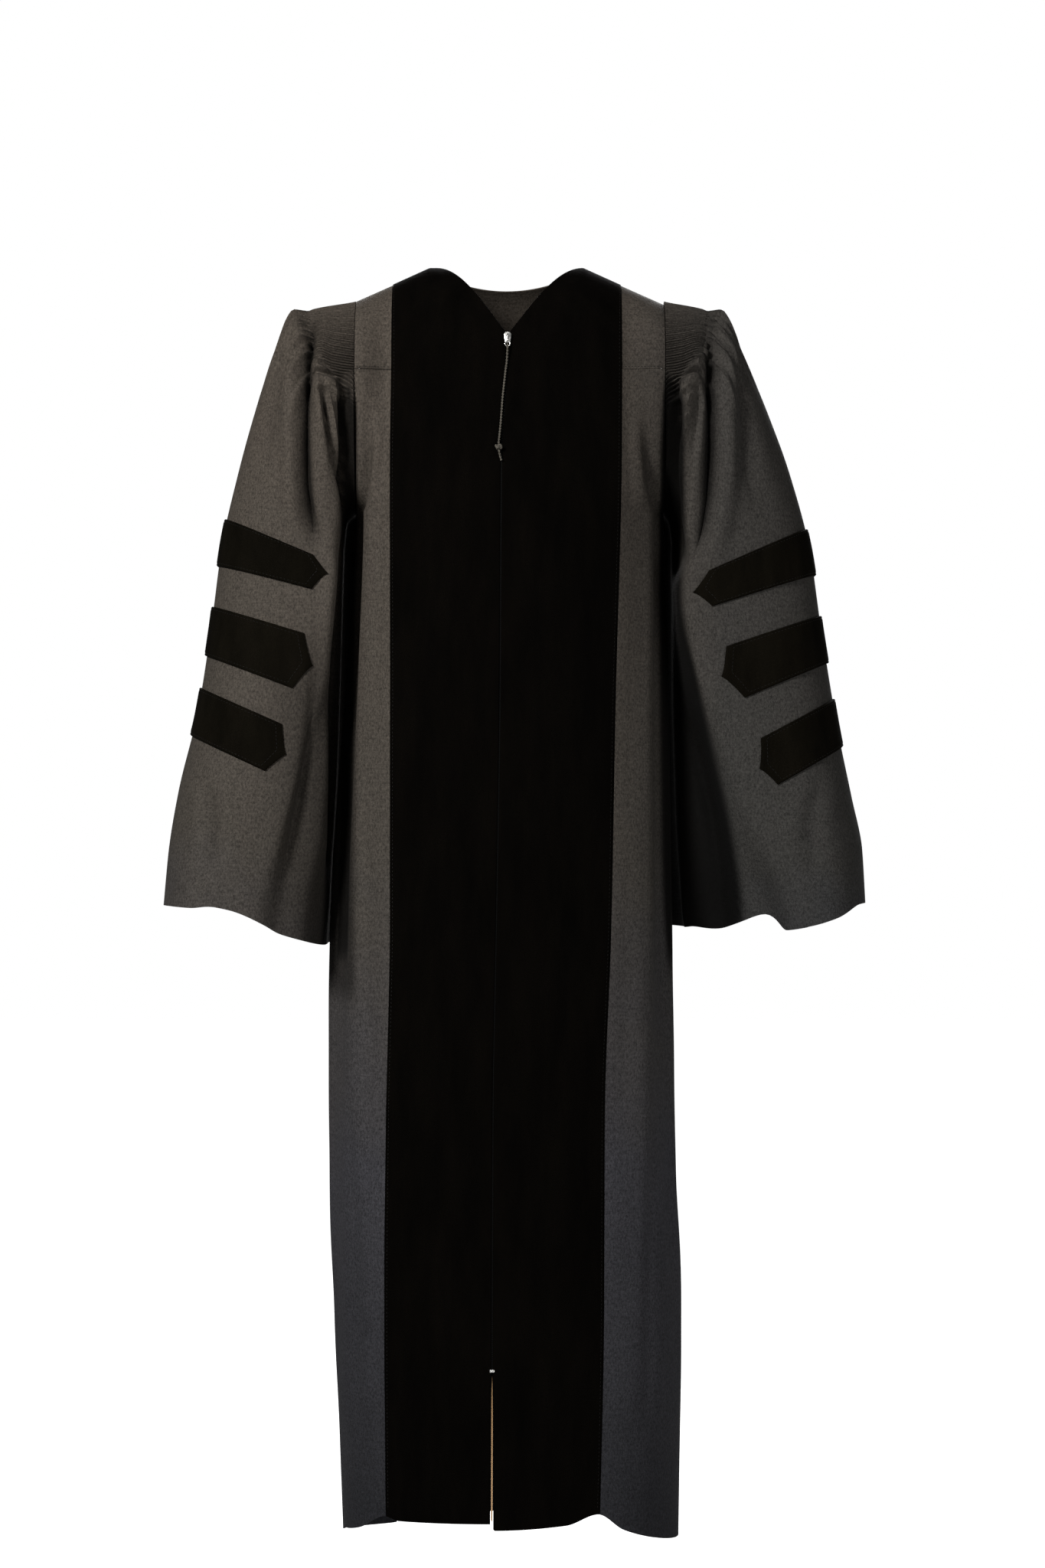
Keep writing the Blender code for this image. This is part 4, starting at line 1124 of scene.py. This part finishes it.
def gown_cloth_material():
    """A fine uneven twill, warm and lighter at the shoulders and cool and darker towards the hem, with painted
    shade on its left side that turns to painted light at its hem.
    """
    n = Nodes("gown_cloth_twill")
    height = n.axis("Z")
    level = n.math("MULTIPLY_ADD", n.noise(7.0, 3.0), 0.3, height)
    tone = CLOTH_TONES[0][1]
    for (low, _), (high, colour) in zip(CLOTH_TONES, CLOTH_TONES[1:]):
        tone = n.mixed(n.range(level, low, high), tone, colour)
    grain = n.noise(1.0, 3.0, 0.65, n.stretched((520, 520, 330)))
    slubs = n.noise(1.0, 2.0, 0.5, n.stretched((60, 60, 900)))
    worn = n.math("MULTIPLY_ADD", grain, 0.80, n.math("MULTIPLY", slubs, 0.20))
    tone = n.times(tone, n.mixed(n.range(worn, 0.34, 0.66), grey(0.50), grey(1.50)))
    # Painted shade on the left side, turning to painted light at the hem
    painted_side_tone = n.mixed(n.range(height, *LEFT_PAINTED_SHADE_HEIGHTS), LEFT_HEM_PAINTED_LIGHT, LEFT_PAINTED_SHADE)
    tone = n.times(tone, n.mixed(n.range(n.axis("X"), *LEFT_PAINTED_SHADE_ACROSS), grey(1.0), painted_side_tone))
    # Painted shade in the deep folds, crease bottoms and between gathers, with the yoke seam's dark line
    shade = n.add("ShaderNodeAttribute", attribute_name="painted_shade_and_seam").outputs["Fac"]
    tone = n.mixed(shade, tone, PAINTED_SHADE_AND_SEAM_COLOUR)
    weave = n.bump(n.ribs((1.0, 0.8, 1.0), TWILL_PER_METRE), 0.00012, 0.5)
    weave = n.bump(grain, 0.00025, 0.6, weave)
    rough = n.range(slubs, 0.3, 0.7, 0.72, 0.88)
    return n.finish(tone, rough, weave, Sheen_Weight=0.004, Sheen_Roughness=0.5, Specular_IOR_Level=0.04)


def velvet_material(name, dark, light):
    """A short dense pile, brushed unevenly, that shines a little where it is seen along its surface."""
    n = Nodes(name)
    brushed = n.noise(1.0, 3.0, 0.6, n.stretched((38, 38, 9)))
    pile = n.noise(1500.0, 2.0, 0.7)
    shade = n.mixed(n.range(brushed, 0.25, 0.80), dark, light)
    shade = n.times(shade, n.mixed(n.range(pile, 0.30, 0.75), grey(0.5), grey(1.5)))
    nap = n.bump(pile, 0.0003, 0.9, n.bump(brushed, 0.0006, 0.5))
    rough = n.range(brushed, 0.3, 0.7, 0.86, 0.98)
    return n.finish(shade, rough, nap, Sheen_Weight=0.002, Sheen_Roughness=0.35, Specular_IOR_Level=0.01)


def thread_material(name, colour, roughness):
    """Sewing thread or cord: fine slanting strands."""
    n = Nodes(name)
    shade = n.mixed(n.noise(700.0, 2.0), tuple(c * 0.6 for c in colour), tuple(c * 1.4 for c in colour))
    strands = n.bump(n.ribs((1.0, 0.6, 1.7), 1400.0), 0.0002, 0.7)
    return n.finish(shade, roughness, strands, Specular_IOR_Level=0.12)


def tape_material():
    """Black woven tape with fine ribs across it."""
    n = Nodes("zip_tape_weave")
    shade = n.mixed(n.noise(500.0), grey(0.0006), grey(0.0020))
    ribs = n.bump(n.ribs((0.0, 0.0, 1.0), 900.0), 0.0002, 0.6)
    ribs = n.bump(n.ribs((1.0, 0.0, 0.0), 700.0), 0.0002, 0.5, ribs)
    return n.finish(shade, 0.8, ribs, Specular_IOR_Level=0.08)


def metal_material(name, colour, roughness):
    """Plated metal with fine scratches and duller patches."""
    n = Nodes(name)
    scratches = n.noise(1.0, 4.0, 0.6, n.stretched((2600, 2600, 300)))
    dull = n.range(n.noise(260.0, 3.0), 0.35, 0.7, roughness * 0.7, roughness * 1.7)
    shade = n.mixed(n.range(scratches, 0.3, 0.7), tuple(c * 0.8 for c in colour), colour)
    return n.finish(shade, dull, n.bump(scratches, 0.00005, 0.4), Metallic=1.0)


def coil_material():
    """The dark moulded teeth of the zip."""
    n = Nodes("zip_coil_nylon")
    shade = n.mixed(n.noise(900.0), grey(0.0006), (0.0020, 0.0020, 0.0018))
    return n.finish(shade, 0.5, n.bump(n.noise(2400.0), 0.0001, 0.4), Specular_IOR_Level=0.06)


def vent_facing_painted_light_material():
    """The pale facing that shows as a thin line in the vent, with painted light from below, brightest at
    its lower end.
    """
    n = Nodes("vent_facing_painted_light")
    shade = n.mixed(n.range(n.axis("Z"), -1.36, -1.20), (0.30, 0.19, 0.10), (0.12, 0.07, 0.03))
    return n.finish(shade, 0.7, n.bump(n.ribs((0.0, 0.0, 1.0), 900.0), 0.0002, 0.5), Specular_IOR_Level=0.1)


# Pieces


def spread(steps, ends):
    """Steps from 0 to 1 that lie closer together at both ends, by a factor of about ends."""
    t = np.linspace(0, 1, steps + 1)
    return t + (1 / ends - 1) * np.sin(2 * np.pi * t) / (2 * np.pi)


def crowded(steps, share):
    """Steps from -1 to 1 that lie closer together at both ends, the more so the larger share is."""
    bent_in = np.sin(np.linspace(-np.pi / 2, np.pi / 2, steps + 1))
    return bent_in * share + np.linspace(-1, 1, steps + 1) * (1 - share)


def legs(first, *others):
    """Numbers along legs of (from, to, count), each leg starting where the one before it ends."""
    return np.concatenate([np.linspace(*first), *(np.linspace(*leg)[1:] for leg in others)])


def pair(title, node, form, rows, finish, slot, **facts):
    """The right and left pieces of cloth of one cut."""
    made = {}
    for name, side in SIDES.items():
        made[name] = cloth(
            f"{title}_{name}", lambda u, v: form(side, u, v), rows, finish, slot, [f"{node}_{name}"], **facts
        )
    return made


def add_fronts(finish):
    seam = FRONT_YOKE_Z - np.array([0.0, 0.0012, 0.0024])
    heights = np.concatenate([seam, legs((seam[-1] - 0.003, -1.10, 190), (-1.10, HEM_Z, 60))])
    rows = [(spread(FRONT_STEPS, 2.0), z) for z in heights]
    highest = (np.inf, -SHOULDER_GAP, FRONT_YOKE_Z - SEAM)
    return pair("front_cloth", "front", front_form, rows, finish, "gown_cloth", highest=highest)


def velvet_face(u, v):
    """The velvet's face, rolled in at its long edges and its hem."""
    edge = np.minimum(u, 1 - u) * VELVET_WIDTH
    rolled = bent(edge + 0.0001, VELVET * 0.8) * bent(0.0002 - (HEM_Z - v), VELVET * 0.8)
    return VELVET_EDGE - CLOTH / 2 + (VELVET - VELVET_EDGE) * rolled


def add_velvets(finish):
    across = spread(VELVET_STEPS, 3.5)
    angles = legs((0, NECK_ANGLE, 26), (NECK_ANGLE, np.pi / 2, 12))
    below = legs((FRONT_YOKE_Z, -1.18, 150), (-1.18, HEM_Z, 44))[1:]
    rows = [(across, v) for v in (*map(along_at, angles), *below)]
    highest = (np.inf, -SHOULDER_GAP, np.inf)
    facts = dict(high=velvet_face, highest=highest)
    return pair("velvet_front", "velvet", velvet_form, rows, finish, "velvet", **facts)


def add_yokes(finish):
    across = spread(FRONT_STEPS, 2.0)
    angles = [*np.linspace(0.0, np.pi / 2 - 0.04, 60), np.pi / 2 - 0.022, np.pi / 2 - 0.011, np.pi / 2]
    rows = [(across, angle) for angle in angles]
    facts = dict(lowest=(-np.inf, -np.inf, FRONT_YOKE_Z), highest=(np.inf, -SHOULDER_GAP, np.inf))
    made = pair("yoke_cloth", "yoke_front", yoke_form, rows, finish, "gown_cloth", **facts)
    rows = [(crowded(120, 0.35), share) for share in np.linspace(0, 1, 60)]
    lowest = (-np.inf, SHOULDER_GAP, BACK_YOKE_Z)
    made["back"] = cloth(
        "yoke_cloth_back", yoke_back_form, rows, finish, "gown_cloth", ["yoke_back"], lowest=lowest
    )
    return made


def add_back(finish):
    across = np.linspace(-1, 1, BACK_STEPS + 1)
    rows = [(across, z) for z in legs((BACK_YOKE_Z, -0.30, 34), (-0.30, HEM_Z, 90))]
    return cloth(
        "back_cloth", back_form, rows, finish, "gown_cloth", ["back_panel"],
        lowest=(-np.inf, SEAM / 2, -np.inf), highest=(np.inf, np.inf, BACK_YOKE_Z - SEAM),
        painted_hollow_shade=back_painted_hollow_shade,
    )


def add_sleeves(finish):
    made = {}
    for name, side in SIDES.items():
        end = SLEEVES[name].rows[-1, 0]
        rows = []
        for finer, downs in ((4, (0, 0.052, 13)), (2, (0.055, 0.092, 12)), (1, (0.096, end, 100))):
            turns = np.arange(finer * SLEEVE_STEPS) / (finer * SLEEVE_STEPS)
            rows += [(leant(turns, down), down) for down in np.linspace(*downs)]
        start = side * (SLEEVES[name].rows[0, 1] + CLOTH / 2 + SEAM)
        made[name] = cloth(
            f"sleeve_cloth_{name}", lambda u, v: sleeve_form(name, u, v), rows, finish, "gown_cloth",
            [f"sleeve_{name}"], around=True, painted_hollow_shade=lambda u, v: sleeve_painted_hollow_shade(name, u, v),
            lowest=(start, -np.inf, -np.inf) if side > 0 else -np.inf,
            highest=(start, np.inf, np.inf) if side < 0 else np.inf,
        )
    return made


def bar_layers(name, centre, share, t):
    """A sleeve bar's bottom and top points, and its outward directions. share runs from -1 at its back point
    to 1 at its front one, and t from -1 at its top to 1."""
    reach = (BAR_TURN + BAR_POINT * (1 - np.abs(t))) * share
    plain, out, depth = sleeve_form(name, reach, centre + t * BAR_HEIGHT / 2, fluted=False)
    edge = np.minimum((1 - np.abs(t)) * BAR_HEIGHT / 2, (1 - np.abs(share)) * BAR_TURN * BAR_GIRTH)
    low = CLOTH / 2 + BAR_LIFT
    face = low + BAR_EDGE + (VELVET - BAR_EDGE) * bent(edge + 0.0001, BAR_ROLL)
    face = face - BAR_GROOVE * bump(edge - BAR_STITCH_IN, BAR_GROOVE_WIDTH)
    return plain + out * (depth + low)[:, None], plain + out * (depth + face)[:, None], out


def add_bars(finish, thread):
    made, runs = [], []
    across, rows = crowded(BAR_STEPS, 0.25), crowded(BAR_ROWS, 0.5)
    u, v = (grid.ravel() for grid in np.meshgrid(across, rows))
    faces = lattice_faces(numbered([len(across)] * len(rows)))
    for name in SIDES:
        for place, centre in BAR_CENTRES[name].items():
            bottom, top, _ = bar_layers(name, centre, u, v)
            node = f"bar_{name}_{place}"
            mesh = thick_mesh(node, top, bottom, faces)
            made.append(add_piece(f"velvet_{node}", mesh, finish, "velvet", [node]))
            runs.append(bar_stitches(name, centre))
    strokes("bar_stitches", runs, thread, "velvet", 0.0007, 0.0007)
    return made


def bar_stitches(name, centre):
    """Stitches all round a bar, inside its edge."""
    inside = 1 - 2 * BAR_STITCH_IN / BAR_HEIGHT
    level = np.linspace(-BAR_STITCH_END, BAR_STITCH_END, 260)
    slant = np.linspace(-inside, inside, 40)
    tip = BAR_STITCH_END * np.ones(40)
    u = np.concatenate([level, tip, level[::-1], -tip])
    v = np.concatenate([-inside + 0 * level, slant, inside + 0 * level, -slant])
    _, top, out = bar_layers(name, centre, u, v)
    return stitch_line(top, out, *BAR_STITCH)


def add_seam_stitches(thread):
    """Stitches beside the velvet's outer edge and the yoke seams."""
    runs = []
    along = np.concatenate([along_at(np.linspace(0.2, np.pi / 2, 30)), np.linspace(-0.12, -1.365, 500)])
    for side in SIDES.values():
        plain, out, depth = velvet_form(side, np.full(len(along), 1 - EDGE_STITCH_IN), along)
        height = depth + VELVET - CLOTH / 2 - 0.0001
        runs.append(stitch_line(plain + out * height[:, None], out, *EDGE_STITCH))
        plain, out, _ = yoke_form(side, np.linspace(0.02, 0.98, 90), np.full(90, np.pi / 2 - 0.030))
        runs.append(stitch_line(plain + out * (CLOTH / 2), out, *YOKE_STITCH))
    plain, out, _ = yoke_back_form(np.linspace(-0.985, 0.985, 400), np.full(400, 0.984))
    runs.append(stitch_line(plain + out * (CLOTH / 2), out, *YOKE_STITCH))
    strokes("seam_stitches", runs, thread, "gown_cloth", 0.0006, 0.0005)


def tape_form(u, v):
    return plain_form(tape_surface, u, v, 1)


def add_tape(finish):
    offsets = np.linspace(-TAPE_HALF_WIDTH, TAPE_HALF_WIDTH, 9)
    rows = [(offsets, v) for v in (along_at(NECK_ANGLE), *np.linspace(FRONT_YOKE_Z, ZIP_END_Z, 160))]
    high = -CLOTH / 2 - SEAM
    return cloth("zip_tape_cloth", tape_form, rows, finish, "zip_tape", ["zip_tape"], high - TAPE, high)


def add_teeth(finish):
    """Two rows of teeth that mesh at the zip's line."""
    along = np.concatenate([
        along_at(np.arange(NECK_ANGLE, np.pi / 2, TOOTH_PITCH / -FRONT_YOKE_Z)),
        np.arange(FRONT_YOKE_Z - 0.001, ZIP_END_Z + 0.002, -TOOTH_PITCH),
    ])
    middle, out, _ = tape_form(np.zeros(len(along)), along)
    down = np.gradient(middle, axis=0)
    down = down / np.linalg.norm(down, axis=1, keepdims=True)
    across = np.cross(down, out)
    points, faces = [], []
    box = [(x, y, z) for x in (-1, 1) for y in (-1, 1) for z in (-1, 1)]
    sides = [(0, 1, 3, 2), (4, 6, 7, 5), (0, 4, 5, 1), (2, 3, 7, 6), (0, 2, 6, 4), (1, 5, 7, 3)]
    for n in range(len(along)):
        lean = TOOTH_WIDTH * TOOTH_LEAN * (1 if n % 2 else -1)
        for x, y, z in box:
            narrow = TOOTH_NARROWING if x * lean < 0 else 1.0
            points.append(
                middle[n] + across[n] * (lean + x * TOOTH_WIDTH / 2)
                + down[n] * z * TOOTH_PITCH * TOOTH_HALF_SHARE * narrow
                + out[n] * (TOOTH_LIFT + y * TOOTH_DEPTH / 2)
            )
        faces += [tuple(i + 8 * n for i in face) for face in sides]
    return add_piece("zip_teeth", turned_out(points, faces, "zip_teeth"), finish, "zip_tape", smooth=False)


def add_vent_facing(finish):
    """A thin pale line of facing that shows in the vent under the zip, coloured with painted light from below.
    """
    z = np.linspace(ZIP_END_Z - 0.006, VENT_FACING_END, 60)
    half_width = 0.0007 * ease((ZIP_END_Z - z) / 0.05) + 0.0002
    rows = [(np.linspace(-1, 1, 4), v) for v in z]

    def form(u, v):
        return tape_form(u * np.interp(-v, -z, half_width), v)

    return cloth("vent_facing", form, rows, finish, "gown_cloth", (), -0.0016, -0.0010)


def prism(source, outline, near, far):
    """A flat block with an (x, z) outline between two depths."""
    rings = [[source.verts.new((x, y, z)) for x, z in outline] for y in (near, far)]
    faces = [source.faces.new(rings[0]), source.faces.new(rings[1][::-1])]
    for k in range(len(outline)):
        m = (k + 1) % len(outline)
        faces.append(source.faces.new((rings[0][k], rings[1][k], rings[1][m], rings[0][m])))
    return faces


def bevelled(source, offset):
    bmesh.ops.recalc_face_normals(source, faces=source.faces)
    bmesh.ops.bevel(source, geom=source.edges[:], offset=offset, segments=2, profile=0.5, affect="EDGES")


def add_tube(source, line, right, radius, around, closed=False):
    """A tube round a line of points. right is a direction, or one at each point, that it never runs along,
    and radius may be an array."""
    line = np.asarray(line, float)
    run = np.roll(line, -1, axis=0) - np.roll(line, 1, axis=0) if closed else np.gradient(line, axis=0)
    run = run / np.linalg.norm(run, axis=1, keepdims=True)
    up = np.cross(run, right)
    up = up / np.linalg.norm(up, axis=1, keepdims=True)
    side = np.cross(up, run)
    angles = np.arange(around) * 2 * np.pi / around
    reach = np.broadcast_to(radius, (len(line), around))
    points = line[:, None] + reach[..., None] * (
        side[:, None] * np.cos(angles)[:, None] + up[:, None] * np.sin(angles)[:, None]
    )
    verts = [[source.verts.new(p) for p in loop] for loop in points]
    for near, far in zip(verts, verts[1:] + verts[:1] if closed else verts[1:]):
        for k in range(around):
            source.faces.new((near[k], near[(k + 1) % around], far[(k + 1) % around], far[k]))
    if not closed:
        source.faces.new(verts[0][::-1])
        source.faces.new(verts[-1])


def metal_piece(name, source, finish, node, z, depth):
    """A piece of metal that lies on the velvet at the zip's line, at height z."""
    place = zip_frame(z) @ Matrix.Translation((0, -face_lift(depth), 0))
    return add_piece(name, closed_mesh(name, source, place), finish, "zip_metal", [node])


def add_slider(finish):
    """Two plates held by a post, flanged sides, a bridge over the front plate and the ring for the cord."""
    width, depth, length = SLIDER_SIZE
    post, post_depth, post_foot = POST_SHAPE
    start, run = BRIDGE_RUN
    source = bmesh.new()
    top, low = length / 2, -length / 2
    half = [(0.30, top), (0.50, top - 0.0022), (0.47, 0.0), (0.34, low + 0.0012), (0.22, low)]
    shield = [(-half[0][0] * width, top), *((x * width, z) for x, z in half)]
    shield += [(-x * width, z) for x, z in half[:0:-1]]
    prism(source, shield, -depth / 2, -depth / 2 + SLIDER_PLATE)
    prism(source, shield, depth / 2 - SLIDER_PLATE, depth / 2)
    column = [(-post, top), (post, top), (post, post_foot), (-post, post_foot)]
    prism(source, column, -post_depth, post_depth)
    for side in (-1, 1):
        flange = [(side * 0.50 * width, top - 0.0030), (side * 0.42 * width, top - 0.0030)]
        flange += [(side * 0.30 * width, low + 0.0006), (side * 0.38 * width, low + 0.0006)]
        prism(source, flange, -depth / 2 + 0.0005, -0.0001)
        prism(source, flange, 0.0001, depth / 2 - 0.0005)
    bevelled(source, SLIDER_ROUND)
    share = np.linspace(0, 1, 15)
    rise = [BRIDGE_RISE * math.sin(math.pi * t) ** 0.6 for t in share]
    bridge = stack(0, -depth / 2 - np.array(rise), start - run * share)
    add_tube(source, bridge, (1, 0, 0), BRIDGE_WIRE, 10)
    turns = np.arange(40) * 2 * np.pi / 40
    centre = np.array((0, -depth * 0.2, low - RING_RADIUS * 0.45))
    ring = [centre + RING_RADIUS * np.array((math.cos(a), 0, math.sin(a))) for a in turns]
    add_tube(source, ring, (0, 1, 0), RING_WIRE, 12, closed=True)
    return metal_piece("zip_slider_body", source, finish, "zip_slider", SLIDER_Z, depth)


def add_stop(finish):
    """A small staple pressed round both tapes, with a groove across its middle."""
    width, depth, height = STOP_SIZE
    source = bmesh.new()

    def oblong(start, end):
        corners = ((start, -1), (end, -1), (end, 1), (start, 1))
        return [(x * width, z * height / 2) for x, z in corners]

    prism(source, oblong(-0.5, 0.5), -depth * 0.25, depth / 2)
    for side in (-1, 1):
        prism(source, oblong(side * 0.06, side * 0.5), -depth / 2, -depth * 0.22)
    bevelled(source, 0.0002)
    return metal_piece("zip_end_stop", source, finish, "zip_stop", ZIP_END_Z, depth)


def add_cord(finish):
    """A cord of two strands laid loosely round each other, knotted above its end."""
    length = CORD_ROUTE.rows[-1, 0]
    gone = np.linspace(0, length, CORD_STEPS + 1)
    line = cord_point(gone)
    angles = np.arange(CORD_AROUND) * 2 * np.pi / CORD_AROUND
    turned = angles[None] - (2 * np.pi / CORD_TWIST * gone)[:, None]
    strands = np.maximum(np.abs(np.cos(turned)), 0.50)
    flare = 1 + 0.10 * ease((gone - length + 0.004) / 0.004)
    ends = ease(gone / 0.0006) * 0.3 + 0.7
    source = bmesh.new()
    add_tube(source, line, (1, 0, 0), CORD_RADIUS * strands * (flare * ends)[:, None], CORD_AROUND)
    mesh = closed_mesh("zip_cord_strands", source)
    cord = add_piece("zip_cord_strands", mesh, finish, "pull_cord", ["zip_cord"])
    tuple(line[0])
    [tuple(p) for p in line[::6]]
    add_knot(finish)


def add_knot(finish):
    """The knot: one strand wound round the cord in three crossing loops."""
    before, middle, after = (Vector(p) for p in cord_point(KNOT_AT + np.array([-0.002, 0, 0.002])))
    t = np.linspace(0, 2 * np.pi, 96, endpoint=False)
    scale = KNOT_RADIUS / 2.6
    x, y, z = np.sin(t) + 2 * np.sin(2 * t), -np.sin(3 * t), np.cos(t) - 2 * np.cos(2 * t)
    loops = stack(x * scale, y * scale * 1.5, z * scale)
    source = bmesh.new()
    add_tube(source, loops, loops - loops.mean(axis=0), KNOT_WIRE * 0.95, 12, closed=True)
    place = Matrix.Translation(middle) @ (after - before).to_track_quat("Y", "Z").to_matrix().to_4x4()
    mesh = closed_mesh("zip_cord_knot", source, place)
    return add_piece("zip_cord_knot", mesh, finish, "pull_cord", ["cord_knot"])


# Stage, light and camera


def seen_first(tree, shown, lighting, socket):
    """Sets a brightness: one number where the backdrop is seen, and another for the light that it gives."""
    path = tree.nodes.new("ShaderNodeLightPath")
    chosen = tree.nodes.new("ShaderNodeMapRange")
    chosen.inputs["To Min"].default_value = lighting
    chosen.inputs["To Max"].default_value = shown
    tree.links.new(path.outputs["Is Camera Ray"], chosen.inputs["Value"])
    tree.links.new(chosen.outputs["Result"], socket)


def add_stage():
    half = FLOOR_SIZE / 2
    mesh = bpy.data.meshes.new("floor")
    corners = [(x * half, y * half, FLOOR_Z) for x, y in ((-1, -1), (1, -1), (1, 1), (-1, 1))]
    mesh.from_pydata(corners, [], [(0, 1, 2, 3)])
    paper = Nodes("floor_paper")
    mesh.materials.append(paper.finish(
        (*grey(0.30), 1), 0.9, None, Emission_Color=(1, 1, 1, 1), Specular_IOR_Level=0.1
    ))
    seen_first(paper.tree, FLOOR_GLOW, 0.0, paper.shader.inputs["Emission Strength"])
    link("floor", mesh)
    world = bpy.data.worlds.new("studio")
    world.use_nodes = True
    sky = world.node_tree.nodes["Background"]
    sky.inputs["Color"].default_value = (1, 1, 1, 1)
    seen_first(world.node_tree, BACKDROP_WHITE, AMBIENT, sky.inputs["Strength"])
    bpy.context.scene.world = world
    bpy.context.scene.view_settings.view_transform = "Standard"


def add_light(name, place, aim, size, power):
    light = bpy.data.lights.new(name, "AREA")
    light.shape = "DISK"
    light.size = size
    light.energy = power
    made = link(name, light)
    made.location = place
    made.rotation_mode = "QUATERNION"
    made.rotation_quaternion = (Vector(aim) - Vector(place)).to_track_quat("-Z", "Y")


def add_camera():
    camera = bpy.data.cameras.new("camera")
    camera.sensor_width = 36
    camera.lens = 36 * CAMERA_DISTANCE / VIEW_HEIGHT
    camera.clip_start, camera.clip_end = 0.1, 60
    made = link("camera", camera)
    made.location = (CAMERA_X, FRONT_Y - CAMERA_DISTANCE, CAMERA_Z)
    made.rotation_euler = (math.pi / 2, 0, 0)
    bpy.context.scene.camera = made


add_camera()
add_stage()
for name, facts in LIGHTS.items():
    add_light(name, **facts)

twill = gown_cloth_material()
velvet = velvet_material("velvet_pile", VELVET_DARK, VELVET_LIGHT)
bar_velvet = velvet_material("velvet_pile_bars", BAR_DARK, BAR_LIGHT)
thread = thread_material("black_thread", THREAD, 0.6)
nickel = metal_material("zip_nickel", NICKEL, 0.24)

add_cord(thread_material("pull_cord_strands", PULL_CORD, 0.75))
fronts = add_fronts(twill)
velvets = add_velvets(velvet)
yokes = add_yokes(twill)
back = add_back(twill)
sleeves = add_sleeves(twill)
bars = add_bars(bar_velvet, thread)
add_seam_stitches(thread)
tape = add_tape(tape_material())
add_teeth(coil_material())
add_vent_facing(vent_facing_painted_light_material())
add_slider(nickel)
add_stop(nickel)
